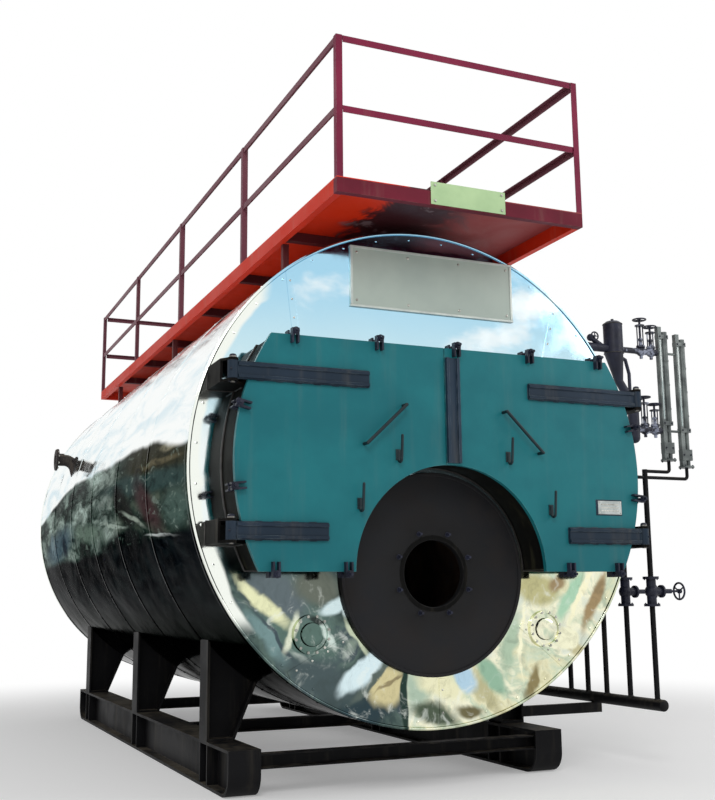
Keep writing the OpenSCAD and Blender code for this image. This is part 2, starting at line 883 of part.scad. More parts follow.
// A round bar from one point to another, or a cone where its two radii differ
module between(from, to, r_from, r_to) {
    run = to - from;
    translate(from) rotate([0, atan2(norm([run[0], run[1]]), run[2]), atan2(run[1], run[0])])
        cylinder(h = norm(run), r1 = r_from, r2 = r_to);
}

// A bent bar through a row of points, with a slightly fuller knuckle at each
module bent_bar(points, r) {
    knuckle = 1.04;
    for (i = [0 : len(points) - 2]) between(points[i], points[i + 1], r, r);
    for (p = points) translate(p) sphere(r = r * knuckle, $fn = 32);
}

// A vent cock on a pipe that slopes up from the chamber, with a ring for a handle
module vent_cock() {
    ring_r = 38;
    ring_up = 56;
    bar = 6;
    foot = [column_x - chamber_r / 2, fit_y, upper_z - 30];
    body = [foot[0] - 180, fit_y, foot[2] + 105];
    bent_bar([foot, body], 20);
    translate(body) {
        sphere(r = 30);
        rotate([90, 0, 0]) {
            cylinder(h = 62, r = 9, $fn = 32);
            translate([0, 0, ring_up]) {
                rotate_extrude($fn = 48) translate([ring_r - bar, 0]) circle(r = bar, $fn = 16);
                for (a = [0, 90]) rotate(a) translate([-ring_r + bar, 0, 0]) rotate([0, 90, 0])
                    cylinder(h = 2 * (ring_r - bar), r = bar * 0.7, $fn = 16);
            }
        }
    }
}

module level_column() {
    knee_z = chamber_low - 220;
    knee_x = column_x + chamber_r - slope_r - 7;
    tee_top = lower_z + 200;
    tee_low = lower_z - 70;
    cone_in = 13;
    past = column_x + chamber_r + bypass_r + 18;
    color("midnightblue") in_place() {
        translate([column_x, fit_y, chamber_low]) rotate_extrude() {
            square([chamber_r, chamber_top - chamber_low]);
            translate([0, chamber_top - chamber_low])
                polygon([[0, 0], [chamber_r, 0], [chamber_r - 25, 18], [12, 24], [12, 40], [0, 40]]);
        }
        between([knee_x, fit_y, knee_z], [column_x, fit_y, chamber_low + cone_in], slope_r, chamber_r - 1);
        bent_bar([[knee_x, fit_y, knee_z], [tee_x, fit_y, tee_top]], slope_r);
        bent_bar([[column_x, fit_y, chamber_low + bypass_r], [past, fit_y, chamber_low - 40],
                  [past + 30, fit_y, chamber_low - 150], [past + 30, fit_y, tee_top + slope_r],
                  [tee_x, fit_y, tee_top]], bypass_r);
        translate([tee_x, fit_y, tee_low]) cylinder(h = tee_top - tee_low, r = tee_r);
        translate([tee_x, fit_y, tee_top]) sphere(r = tee_r);
        translate([tee_x, fit_y, tee_low]) sphere(r = tee_r);
        vent_cock();
        difference() {
            union() {
                across(drum_z(upper_z) - 60, column_x, fit_y, upper_z, slope_r);
                across(drum_z(lower_z) - 60, tee_x, fit_y, lower_z, slope_r);
            }
            along(0, 0, 0, drum_len, drum_r, $fn = 180);
        }
    }
}

// One gauge: a tube held by blocks on a flat bar, over a drain block and a flange
module gauge(i) {
    flange_h = 14;
    bar_deep = 40;
    block_h = [90, 34, 34];
    block_z = [60, 290, gauge_len - 100];
    tube_z = block_z[1];
    tube_x = gauge_half - gauge_tube_r;
    translate([gauge_x[i], fit_y, gauge_low[i]]) {
        cylinder(h = flange_h, r = gauge_flange_r);
        translate([-gauge_half, -bar_deep / 2, 0]) cube([gauge_bar, bar_deep, gauge_len]);
        for (k = [0 : 2]) translate([-gauge_half, -bar_deep * 0.6, block_z[k]])
            cube([2 * gauge_half, bar_deep * 1.2, block_h[k]]);
        translate([tube_x, 0, 0]) cylinder(h = tube_z, r = gauge_tube_r * 0.6);
        translate([tube_x, 0, tube_z]) cylinder(h = gauge_len - 40 - tube_z, r = gauge_tube_r);
    }
}

module water_gauges() {
    color("gray") in_place() {
        for (i = [0, 1]) gauge(i);
        for (z = [upper_z, lower_z])
            across(gauge_x[0], gauge_x[1], fit_y, z, gauge_pipe_r * 0.6);
    }
}

// One gauge valve on its pipe: a round body, a bonnet and a yoke round the stem
module gauge_valve(x, z, up) {
    plug_r = 13;
    yoke_x = valve_r * 0.72;
    yoke_t = 10;
    yoke_top = up - 45;
    bonnet_z = valve_r * 0.75;
    translate([x, fit_y, z]) {
        sphere(r = valve_r);
        translate([0, 0, -valve_r - 20]) cylinder(h = 40, r = plug_r, $fn = 32);
        translate([0, 0, bonnet_z]) cylinder(h = 16, r = valve_r * 0.9);
        cylinder(h = stem_foot + 50, r = valve_r * 0.36);
        translate([0, 0, stem_foot + 30]) cylinder(h = 14, r = valve_r * 0.5, $fn = 6);
        for (side = [-1, 1]) translate([side * yoke_x, 0, bonnet_z])
            cylinder(h = yoke_top - bonnet_z, r = yoke_t / 2, $fn = 24);
        translate([0, 0, yoke_top - yoke_t]) cylinder(h = yoke_t, r = yoke_x + yoke_t, $fn = 32);
    }
}

module gauge_valves() {
    nut_out = valve_r + 9;
    ups = [valve_up, valve_up_outer];
    color("midnightblue") in_place()
        for (line = [[upper_z, column_x + chamber_r], [lower_z, tee_x + tee_r]]) {
            z = line[0];
            difference() {
                union() {
                    across(line[1], gauge_x[0] - gauge_half, fit_y, z, gauge_pipe_r);
                    across(line[1], valve_x[0] - valve_r, fit_y, z, gauge_pipe_r * 1.4);
                    for (i = [0, 1]) {
                        across(valve_x[i] - nut_out, valve_x[i] + nut_out, fit_y, z,
                               gauge_pipe_r * 1.6, $fn = 8);
                        gauge_valve(valve_x[i], z, ups[i]);
                    }
                }
                for (x = valve_x) translate([x, fit_y, z + stem_foot])
                    cylinder(h = valve_up, r = wheel_stem_r + stem_play);
            }
        }
}

// A spoked wheel on its stem, standing on the xy plane's origin
module spoked_wheel(r, stem_down) {
    rim = r * 0.11;
    rotate_extrude() translate([r - rim, 0]) circle(r = rim, $fn = 24);
    for (a = [0 : 120 : 240]) rotate(a) rotate([0, 90, 0]) cylinder(h = r - rim, r = rim * 0.75, $fn = 24);
    translate([0, 0, -rim]) cylinder(h = 3 * rim, r = r * 0.25);
    translate([0, 0, -stem_down]) cylinder(h = stem_down, r = wheel_stem_r);
}

module gauge_wheel(x, z, up) {
    color("midnightblue") in_place() translate([x, fit_y, z + up])
        spoked_wheel(wheel_r, up - stem_foot - 2);
}

module upper_inner_wheel() {
    gauge_wheel(valve_x[0], upper_z, valve_up);
}

module upper_outer_wheel() {
    gauge_wheel(valve_x[1], upper_z, valve_up_outer);
}

module lower_inner_wheel() {
    gauge_wheel(valve_x[0], lower_z, valve_up);
}

module lower_outer_wheel() {
    gauge_wheel(valve_x[1], lower_z, valve_up_outer);
}

// A pipe that comes out of the drum, turns down in an elbow and ends at a depth
module down_pipe(y, z, low) {
    bend = 3 * drain_r;
    difference() {
        across(sqrt(drum_r * drum_r - z * z) - 60, header_x - bend, y, z, drain_r);
        along(0, 0, 0, drum_len, drum_r, $fn = 180);
    }
    translate([header_x - bend, y, z - bend]) rotate([90, 0, 0])
        quarter(bend, drain_r);
    translate([header_x, y, low]) cylinder(h = z - bend - low, r = drain_r);
}

// The small pipe below a gauge: down, then sideways to the first upright pipe
module gauge_drain(i) {
    bend = 2 * small_r;
    turn_z = gauge_low[i] - gauge_turn;
    translate([gauge_x[i], fit_y, turn_z + bend]) cylinder(h = gauge_low[i] - turn_z - bend, r = small_r);
    translate([gauge_x[i] - bend, fit_y, turn_z + bend]) rotate([-90, 0, 0])
        quarter(bend, small_r);
    across(header_x, gauge_x[i] - bend, fit_y, turn_z, small_r);
}

module drain_pipes() {
    first_top = gauge_low[0] - gauge_turn;
    flange_z = drain_valve_len / 2;
    color("black") in_place() {
        translate([header_x, fit_y, valve_z + flange_z])
            cylinder(h = first_top - valve_z - flange_z + small_r, r = drain_r);
        for (i = [0, 1]) gauge_drain(i);
        difference() {
            across(drum_r - 60, header_x, fit_y, gauge_low[1] - gauge_turn, small_r);
            along(0, 0, 0, drum_len, drum_r, $fn = 180);
        }
        down_pipe(drain_y[0], drain_z, valve_z + flange_z);
        for (y = [fit_y, drain_y[0]]) difference() {
            translate([header_x, y, header_z]) cylinder(h = valve_z - flange_z - header_z, r = drain_r);
            along(header_x, header_z, 0, drum_len, header_r);
        }
        for (i = [1 : len(drain_y) - 1]) difference() {
            down_pipe(drain_y[i], drain_z - drain_fall, header_z);
            along(header_x, header_z, 0, drum_len, header_r);
        }
    }
}

module drain_header() {
    wall = 4;
    cap = 2 * wall;
    arm_w = 50;
    arm_h = 80;
    arm_past = 60;
    color("black") in_place() {
        difference() {
            union() {
                along(header_x, header_z, header_start, header_start + header_len, header_r);
                translate([header_x, header_start, header_z]) scale([1, 0.5, 1]) sphere(r = header_r);
            }
            along(header_x, header_z, header_start + cap, header_start + header_len + 1, header_r - wall);
        }
        for (y = [leg_y[0] - arm_past, leg_y[1]])
            translate([leg_out, y - arm_w / 2, header_z - header_r - arm_h])
                cube([header_x + arm_past - leg_out, arm_w, arm_h]);
    }
}

// One flanged drain valve on an upright pipe, its spindle pointing away from the drum
module drain_valve(y) {
    half = drain_valve_len / 2;
    flange = 20;
    body_r = drain_flange_r * 0.84;
    neck = 95;
    bonnet_t = 16;
    gland = 190;
    translate([header_x, y, valve_z]) difference() {
        union() {
            for (side = [0, 1]) mirror([0, 0, side]) {
                translate([0, 0, half - flange]) cylinder(h = flange, r = drain_flange_r);
                cylinder(h = half - flange / 2, r = drain_flange_r * 0.6);
            }
            sphere(r = body_r);
            rotate([0, 90, 0]) {
                cylinder(h = neck, r = drain_flange_r * 0.5);
                translate([0, 0, neck - bonnet_t / 2]) cylinder(h = bonnet_t, r = drain_flange_r * 0.8);
                cylinder(h = gland, r = 2 * wheel_stem_r);
            }
        }
        rotate([0, 90, 0]) translate([0, 0, drain_stem_foot])
            cylinder(h = gland, r = wheel_stem_r + stem_play);
    }
}

module drain_valves() {
    color("midnightblue") in_place() {
        drain_valve(fit_y);
        drain_valve(drain_y[0]);
        translate([header_x + drain_valve_reach, drain_y[0], valve_z]) rotate([0, 90, 0])
            spoked_wheel(drain_wheel_r, drain_valve_reach - drain_stem_foot - 2);
    }
}

module drain_wheel() {
    color("midnightblue") in_place() translate([header_x + drain_valve_reach, fit_y, valve_z])
        rotate([0, 90, 0]) spoked_wheel(drain_wheel_r, drain_valve_reach - drain_stem_foot - 2);
}

// A round flange with a ring of bolt holes, its face at the origin and looking along +z
module pipe_flange(r, bore, t, pcr, n, hole) {
    translate([0, 0, -t]) difference() {
        cylinder(h = t, r = r);
        translate([0, 0, -1]) cylinder(h = t + 2, r = bore);
        for (i = [0 : n - 1]) rotate((i + 0.5) * 360 / n) translate([pcr, 0, -1])
            cylinder(h = t + 2, r = hole, $fn = 24);
    }
}

module steam_outlet() {
    face_z = drum_r + steam_up;
    color("dimgray") in_place() translate([0, steam_y, 0]) {
        translate([0, 0, shell_in]) difference() {
            cylinder(h = face_z - shell_in, r = steam_r);
            translate([0, 0, -1]) cylinder(h = face_z, r = steam_r - steam_wall);
        }
        translate([0, 0, face_z]) pipe_flange(steam_flange_r, steam_r - 1, 24, steam_pcr, 12, 11);
    }
}

module flue_outlet() {
    outer = flue_r + flue_wall;
    color("dimgray") in_place() translate([0, 0, flue_z]) {
        difference() {
            along(0, 0, drum_len - cladding_t, drum_len + flue_len, outer, $fn = 90);
            along(0, 0, 0, 2 * drum_len, flue_r, $fn = 90);
        }
        translate([0, drum_len + flue_len, 0]) rotate([-90, 0, 0])
            pipe_flange(outer + flue_flange_w, outer - 1, 12, outer + flue_flange_w * 0.56, 16, 7);
    }
}

// A tube along +z
module tube(h, r, wall) {
    difference() {
        cylinder(h = h, r = r);
        translate([0, 0, -1]) cylinder(h = h + 2, r = r - wall);
    }
}

module feed_inlet() {
    stub = 90;
    rise = 40;
    out = 120;
    vent_r = 15;
    vent_len = 62;
    color("dimgray") in_place() translate([-feed_x, drum_len + stub, feed_z]) {
        translate([0, -stub - cladding_t, 0]) rotate([-90, 0, 0]) tube(stub + cladding_t, feed_r, feed_wall);
        translate([0, 0, feed_bend]) rotate([0, 90, 0]) quarter(feed_bend, feed_r, feed_r - feed_wall);
        translate([0, feed_bend, feed_bend]) tube(rise, feed_r, feed_wall);
        translate([-feed_bend, feed_bend, feed_bend + rise]) rotate([90, 0, 0])
            quarter(feed_bend, feed_r, feed_r - feed_wall);
        translate([-feed_bend, feed_bend, feed_bend + rise]) rotate([0, 45, 0])
            translate([0, 0, feed_bend + feed_r - feed_wall]) cylinder(h = vent_len, r = vent_r, $fn = 32);
        translate([-feed_bend, feed_bend, 2 * feed_bend + rise]) rotate([0, -90, 0]) {
            tube(out, feed_r, feed_wall);
            translate([0, 0, out]) pipe_flange(feed_flange_r, feed_r - 1, 22, feed_pcr, 8, 9);
        }
    }
}

jacket();
front_cladding();
rear_cladding();
front_tube_plate();
rear_tube_plate();
fire_tubes();
furnace();
burner_plate();
smokebox();
left_door();
right_door();
left_door_lining();
right_door_lining();
left_door_straps();
right_door_straps();
centre_strip();
left_door_handles();
right_door_handles();
left_door_clamps();
right_door_clamps();
clamp_lugs();
hinge_brackets();
hinge_pins();
handhole_covers();
left_skid();
right_skid();
cross_beams();
saddle_legs();
walkway_frame();
walkway_beams();
walkway_deck();
walkway_legs();
rail_posts();
side_rails();
end_rails();
level_column();
water_gauges();
gauge_valves();
upper_inner_wheel();
upper_outer_wheel();
lower_inner_wheel();
lower_outer_wheel();
drain_pipes();
drain_header();
drain_valves();
drain_wheel();
steam_outlet();
flue_outlet();
feed_inlet();
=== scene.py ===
# %% [markdown]
# An industrial fire-tube boiler, dressed in Blender
#
# The real object is a steel drum nearly seven metres long in a skin of mirror-polished
# sheet. Two painted doors close the smokebox on its front, a burner plate sits below
# them, and a walkway rides on top. Its solids are already built to size, so this lesson
# is about finishes and about the small things that a maker adds last: seams, screws,
# welds, gaskets, glasses and plates. Lengths are in metres, and +Y runs to the rear.

# %% Load the solids and read the sizes that everything else follows
import json
import math
import random

import bmesh
import bpy
from mathutils import Matrix, Vector


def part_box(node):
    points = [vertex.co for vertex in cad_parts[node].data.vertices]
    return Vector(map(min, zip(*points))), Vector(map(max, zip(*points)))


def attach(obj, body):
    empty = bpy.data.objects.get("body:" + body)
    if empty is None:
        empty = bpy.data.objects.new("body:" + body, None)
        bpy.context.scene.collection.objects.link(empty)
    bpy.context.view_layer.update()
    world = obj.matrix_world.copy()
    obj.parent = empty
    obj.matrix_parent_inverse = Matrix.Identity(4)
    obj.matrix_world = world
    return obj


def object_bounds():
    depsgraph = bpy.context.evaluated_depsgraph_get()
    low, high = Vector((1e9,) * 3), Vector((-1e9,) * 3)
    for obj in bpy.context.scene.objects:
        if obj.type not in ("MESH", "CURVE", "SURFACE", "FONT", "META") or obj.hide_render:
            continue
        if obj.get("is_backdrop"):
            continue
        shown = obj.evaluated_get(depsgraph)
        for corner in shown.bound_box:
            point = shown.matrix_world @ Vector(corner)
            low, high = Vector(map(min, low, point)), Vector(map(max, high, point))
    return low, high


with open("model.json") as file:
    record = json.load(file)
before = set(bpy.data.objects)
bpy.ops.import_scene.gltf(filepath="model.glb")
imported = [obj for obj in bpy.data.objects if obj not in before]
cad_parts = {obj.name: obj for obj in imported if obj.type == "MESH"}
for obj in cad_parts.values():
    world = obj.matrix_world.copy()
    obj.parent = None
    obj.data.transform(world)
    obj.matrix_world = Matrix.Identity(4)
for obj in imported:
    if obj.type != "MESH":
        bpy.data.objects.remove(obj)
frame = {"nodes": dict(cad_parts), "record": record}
nodes = frame["nodes"]
cad_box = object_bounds()
jacket_low, jacket_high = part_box("jacket")
front_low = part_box("front_cladding")[0]
rear_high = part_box("rear_cladding")[1]
drum_r = (jacket_high.x - jacket_low.x) / 2
drum_len = rear_high.y - front_low.y
axis = Vector(((jacket_low.x + jacket_high.x) / 2, front_low.y, (jacket_low.z + jacket_high.z) / 2))
rng = random.Random(7)


def drum(x, y, z):
    """A point given from the drum's axis at the front face."""
    return axis + Vector((x, y, z))


print(f"{len(nodes)} solids, a drum of radius {drum_r:.3f} and length {drum_len:.3f}")

# %% [markdown]
# The camera stands left of the boiler, lower than the drum's axis, and looks up at it.
# Its place could be found by moving it until the view fits. Here the front circle, the
# runners and the rails were measured instead, and the numbers below are what fits them
# all. The view is built from three turns, so that each one can be read by itself.

# %% Stand the camera where the picture was taken
picture_w, picture_h = 715, 800
focal_px = 1093.8
camera_yaw, camera_pitch, camera_roll = 0.4128, 0.1781, -0.0100
look = Vector((
    math.sin(camera_yaw) * math.cos(camera_pitch),
    math.cos(camera_yaw) * math.cos(camera_pitch),
    math.sin(camera_pitch),
))
level_right = Vector((math.cos(camera_yaw), -math.sin(camera_yaw), 0))
level_up = level_right.cross(look)
right = math.cos(camera_roll) * level_right + math.sin(camera_roll) * level_up
up = right.cross(look)
camera_data = bpy.data.cameras.new("camera")
camera_data.sensor_fit = "VERTICAL"
camera_data.sensor_height = 36
camera_data.sensor_width = camera_data.sensor_height
camera_data.lens = focal_px * camera_data.sensor_height / picture_h
camera = bpy.data.objects.new("camera", camera_data)
turn = Matrix((right, up, -look)).transposed()
camera.matrix_world = Matrix.Translation(drum(-3.550, -6.845, -0.860)) @ turn.to_4x4()
bpy.context.scene.collection.objects.link(camera)
bpy.context.scene.camera = camera
print(f"a {picture_w} by {picture_h} picture, lens {camera_data.lens:.1f} mm")

# %% [markdown]
# The light, the floor and every finish are node trees. Writing each node out by hand is
# long, so small helpers do the wiring: one adds a node and fills its sockets with numbers,
# colours or other nodes' outputs, and one writes a colour as a painter would read it off
# a card, in steps of 0 to 255.

# %% Helpers for node trees
def blank_tree(owner):
    """Give a material or a world an empty node tree."""
    owner.use_nodes = True
    owner.node_tree.nodes.clear()
    return owner.node_tree


def tint(red, green, blue):
    """A screen colour as the linear colour that shaders expect."""
    return tuple(
        (c / 255 / 12.92) if c <= 10 else ((c / 255 + 0.055) / 1.055) ** 2.4
        for c in (red, green, blue)
    ) + (1.0,)


def feed(tree, socket, value):
    """Link a socket to another node's output, or set it to a number or a colour."""
    if isinstance(value, bpy.types.NodeSocket):
        tree.links.new(value, socket)
    elif value is not None:
        socket.default_value = value


def put(tree, kind, *values, out=0, **settings):
    """Add a node, fill its first sockets in order, and give back one of its outputs."""
    made = tree.nodes.new("ShaderNode" + kind)
    for name, value in settings.items():
        setattr(made, name, value)
    for socket, value in zip([s for s in made.inputs if s.enabled], values):
        feed(tree, socket, value)
    return [s for s in made.outputs if s.enabled][out]


def math_of(tree, operation, a, b=0.0, clamp=False):
    return put(tree, "Math", a, b, operation=operation, use_clamp=clamp)


def plus(tree, a, b, clamp=False):
    return math_of(tree, "ADD", a, b, clamp)


def minus(tree, a, b, clamp=False):
    return math_of(tree, "SUBTRACT", a, b, clamp)


def times(tree, a, b, clamp=False):
    return math_of(tree, "MULTIPLY", a, b, clamp)


def mixed(tree, share, a, b):
    """Colour a turned into colour b by a share from 0 to 1."""
    return put(tree, "Mix", share, a, b, data_type="RGBA", clamp_factor=True)


def spread(tree, value, low, high, to_low=0.0, to_high=1.0):
    """A value between low and high, eased into a new range."""
    return put(tree, "MapRange", value, low, high, to_low, to_high, interpolation_type="SMOOTHSTEP")


def ramp(tree, value, stops):
    """Colours along a scale: each stop is a place from 0 to 1 and a colour."""
    made = tree.nodes.new("ShaderNodeValToRGB")
    scale = made.color_ramp
    while len(scale.elements) < len(stops):
        scale.elements.new(1.0)
    for element, (place, shade) in zip(scale.elements, stops):
        element.position = place
        element.color = tint(*shade)
    tree.links.new(value, made.inputs[0])
    return made.outputs[0]


def noise(tree, where, scale, detail=3.0, roughness=0.5, distortion=0.0, out=0):
    made = tree.nodes.new("ShaderNodeTexNoise")
    tree.links.new(where, made.inputs["Vector"])
    for name, value in (("Scale", scale), ("Detail", detail), ("Roughness", roughness),
                        ("Distortion", distortion)):
        feed(tree, made.inputs[name], value)
    return made.outputs[out]


def stretched(tree, where, x, y, z):
    """Coordinates scaled by a different amount along each axis."""
    return put(tree, "Mapping", where, None, None, (x, y, z))


def split(tree, where):
    """The x, y and z of a point, as three outputs."""
    parts = tree.nodes.new("ShaderNodeSeparateXYZ")
    tree.links.new(where, parts.inputs[0])
    return parts.outputs[0], parts.outputs[1], parts.outputs[2]


def joined(tree, x, y, z=0.0):
    return put(tree, "CombineXYZ", x, y, z)


print("node helpers ready")

# %% [markdown]
# Light on a polished drum is a trap: a mirror shows whatever is round it. A dark studio
# would make it black, so the world is white to the camera, to glossy rays and to glass,
# and a little dimmer to paint. One broad lamp gives the paint its form and a soft
# shadow, and a second fills the right-hand side.

# %% Light the scene and lay the floor
scene = bpy.context.scene
scene.view_settings.view_transform = "Standard"
fill_level = 0.42
world = bpy.data.worlds.new("pale_room")
scene.world = world
wires = blank_tree(world)
ray = wires.nodes.new("ShaderNodeLightPath").outputs
seen = math_of(wires, "MAXIMUM", ray["Is Camera Ray"], ray["Is Glossy Ray"])
bright = math_of(wires, "MAXIMUM", seen, ray["Is Transmission Ray"])
level = put(wires, "MapRange", bright, 0.0, 1.0, fill_level, 1.0)
room = put(wires, "Background", (1, 1, 1, 1), level)
wires.links.new(room, wires.nodes.new("ShaderNodeOutputWorld").inputs["Surface"])


def soft_lamp(name, at, aim, width, power):
    lamp = bpy.data.lights.new(name, "AREA")
    lamp.shape = "DISK"
    lamp.size = width
    lamp.energy = power
    held = bpy.data.objects.new(name, lamp)
    held.location = at
    held.rotation_euler = (aim - at).to_track_quat("-Z", "Y").to_euler()
    scene.collection.objects.link(held)


soft_lamp("key_lamp", drum(-5.5, -11, 8), drum(0, 1.5, 0), width=6.0, power=660)
soft_lamp("fill_lamp", drum(10, -7, 5), drum(0, 3, 0), width=7.0, power=320)

# %% [markdown]
# The floor is a plain pale disc. Near the boiler it is ordinary matt paint, so it takes
# the shadow. Further out it turns to plain white light, so that no horizon shows
# behind the skid.

# %% The floor
floor_r, floor_fade_from, floor_fade_to = 90.0, 4.0, 9.0
floor_white, floor_lift = 0.84, 0.26
floor_steps, floor_sunk = 96, 0.001
mesh = bpy.data.meshes.new("floor")
bm = bmesh.new()
bmesh.ops.create_circle(bm, cap_ends=True, segments=floor_steps, radius=floor_r)
bm.to_mesh(mesh)
bm.free()
floor = bpy.data.objects.new("floor", mesh)
floor.location = (0, 0, -floor_sunk)
scene.collection.objects.link(floor)
paint = bpy.data.materials.new("floor_paint")
wires = blank_tree(paint)
matt = put(wires, "BsdfDiffuse", (floor_white, floor_white, floor_white, 1))
glow = put(wires, "Emission", None, floor_lift)
lifted = put(wires, "AddShader", matt, glow)
middle = wires.nodes.new("ShaderNodeTexCoord").outputs["Object"]
away = put(wires, "VectorMath", middle, operation="LENGTH")
fade = spread(wires, away, floor_fade_from, floor_fade_to)
blend = put(wires, "MixShader", fade, lifted, put(wires, "Emission"))
wires.links.new(blend, wires.nodes.new("ShaderNodeOutputMaterial").inputs["Surface"])
mesh.materials.append(paint)
floor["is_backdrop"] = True
print("floor laid")

# %% [markdown]
# Some effects are shared by many finishes, so each becomes a shader node group that is
# wired once. A group gives out masks, heights and coordinates, and never a shader.

# %% Helpers for shared effects
def group(name, inputs, outputs, wire):
    """A shader node group. wire gets the tree and its input sockets by name, and gives outputs."""
    tree = bpy.data.node_groups.new(name, "ShaderNodeTree")
    for socket, value in inputs.items():
        kind = "NodeSocketVector" if value is None else "NodeSocketFloat"
        made = tree.interface.new_socket(name=socket, in_out="INPUT", socket_type=kind)
        if value is not None:
            made.default_value = value
    kinds = {"mask": "NodeSocketFloat", "height": "NodeSocketFloat", "where": "NodeSocketVector"}
    for socket, kind in outputs.items():
        tree.interface.new_socket(name=socket, in_out="OUTPUT", socket_type=kinds[kind])
    enters = tree.nodes.new("NodeGroupInput")
    leaves = tree.nodes.new("NodeGroupOutput")
    results = wire(tree, enters.outputs)
    for socket in outputs:
        tree.links.new(results[socket], leaves.inputs[socket])
    return tree


def use(tree, effect, **values):
    """Place a group in a material and give back its outputs."""
    made = tree.nodes.new("ShaderNodeGroup")
    made.node_tree = effect
    for name, value in values.items():
        feed(tree, made.inputs[name], value)
    return made.outputs


print("group helpers ready")

# %% [markdown]
# Paint wears first on corners. A bevel node gives the surface direction as if each
# corner were rounded, so where that differs from the true direction there is an edge.
# The difference works on any mesh, however few faces it has, and noise breaks it up so
# that the wear isn't a ruled line.

# %% The edge wear group
def wire_edge_wear(tree, given):
    rounded = put(tree, "Bevel", given["Radius"], samples=4)
    true_normal = tree.nodes.new("ShaderNodeNewGeometry").outputs["Normal"]
    alike = put(tree, "VectorMath", rounded, true_normal, operation="DOT_PRODUCT", out=0)
    edge = minus(tree, 1.0, alike, clamp=True)
    lifted = times(tree, edge, 9.0)
    patches = noise(tree, given["Where"], given["Patch scale"], 4.0, 0.6)
    broken = spread(tree, patches, 0.42, 0.66)
    amount = times(tree, given["Amount"], broken)
    return {"Mask": times(tree, lifted, amount, clamp=True)}


edge_wear = group(
    "edge_wear",
    {"Where": None, "Radius": 0.004, "Patch scale": 9.0, "Amount": 1.0},
    {"Mask": "mask"},
    wire_edge_wear,
)
print("edge_wear group ready")

# %% [markdown]
# Dust lies on what faces up, and rain drags it down what stands upright. Both come from
# the surface's own direction and from noise: round for the dust, drawn out along Z for
# the streaks.

# %% The dust and streaks group
def wire_weathering(tree, given):
    facing_up = put(tree, "SeparateXYZ", tree.nodes.new("ShaderNodeNewGeometry").outputs["Normal"], out=2)
    specks = noise(tree, given["Where"], 14.0, 5.0, 0.62)
    drift = noise(tree, given["Where"], 1.7, 3.0, 0.5)
    lies = spread(tree, facing_up, 0.35, 0.95)
    dust = times(tree, lies, spread(tree, plus(tree, specks, drift), 0.75, 1.25))
    runs = noise(tree, stretched(tree, given["Where"], 9.0, 9.0, 0.8), 1.0, 4.0, 0.6)
    upright = minus(tree, 1.0, math_of(tree, "ABSOLUTE", facing_up), clamp=True)
    streaks = times(tree, upright, spread(tree, runs, 0.50, 0.78))
    return {
        "Dust": times(tree, dust, given["Dust amount"], clamp=True),
        "Streaks": times(tree, streaks, given["Streak amount"], clamp=True),
    }


weathering = group(
    "weathering",
    {"Where": None, "Dust amount": 0.5, "Streak amount": 0.3},
    {"Dust": "mask", "Streaks": "mask"},
    wire_weathering,
)
print("weathering group ready")

# %% [markdown]
# Sprayed paint isn't flat: it has a fine orange peel, and over metres it is thicker in
# one pass of the gun than in the next. The group gives the peel as a height for a bump
# node and the passes as a mask that shifts the colour a little.

# %% The sprayed paint group
def wire_spray(tree, given):
    peel = noise(tree, given["Where"], given["Peel scale"], 2.0, 0.4)
    passes = noise(tree, stretched(tree, given["Where"], 1.0, 1.0, 2.2), 0.9, 2.0, 0.5)
    cloudy = noise(tree, given["Where"], 4.0, 4.0, 0.6)
    both = plus(tree, times(tree, passes, 0.6), times(tree, cloudy, 0.4))
    return {"Height": peel, "Passes": spread(tree, both, 0.36, 0.64)}


spray = group(
    "spray",
    {"Where": None, "Peel scale": 260.0},
    {"Height": "height", "Passes": "mask"},
    wire_spray,
)
print("spray group ready")

# %% [markdown]
# Thin polished sheet is never quite flat. It oil-cans between its screws, and that bends
# what it mirrors into long flowing shapes. The group gives the waves as a height, and a
# shifted set of coordinates, so that the tones painted into the metal bend along the
# same waves.

# %% The sheet waves group
def wire_sheet_waves(tree, given):
    slow = noise(tree, given["Where"], given["Wave scale"], 2.0, 0.45, 0.4)
    pull = noise(tree, given["Where"], given["Wave scale"], 2.0, 0.5, 0.8, out=1)
    centred = put(tree, "VectorMath", pull, (0.5, 0.5, 0.5), operation="SUBTRACT")
    sized = tree.nodes.new("ShaderNodeVectorMath")
    sized.operation = "SCALE"
    tree.links.new(centred, sized.inputs[0])
    tree.links.new(given["Bend"], sized.inputs["Scale"])
    bent = put(tree, "VectorMath", given["Where"], sized.outputs[0], operation="ADD")
    return {"Height": slow, "Bent": bent}


sheet_waves = group(
    "sheet_waves",
    {"Where": None, "Wave scale": 1.6, "Bend": 0.5},
    {"Height": "height", "Bent": "where"},
    wire_sheet_waves,
)
print("four shared effects:", ", ".join(g.name for g in bpy.data.node_groups))

# %% [markdown]
# A finish is a principled shader with a base colour, a roughness, sometimes metal, and a
# height for the bump. One function builds the shader and lets a short recipe fill it in.

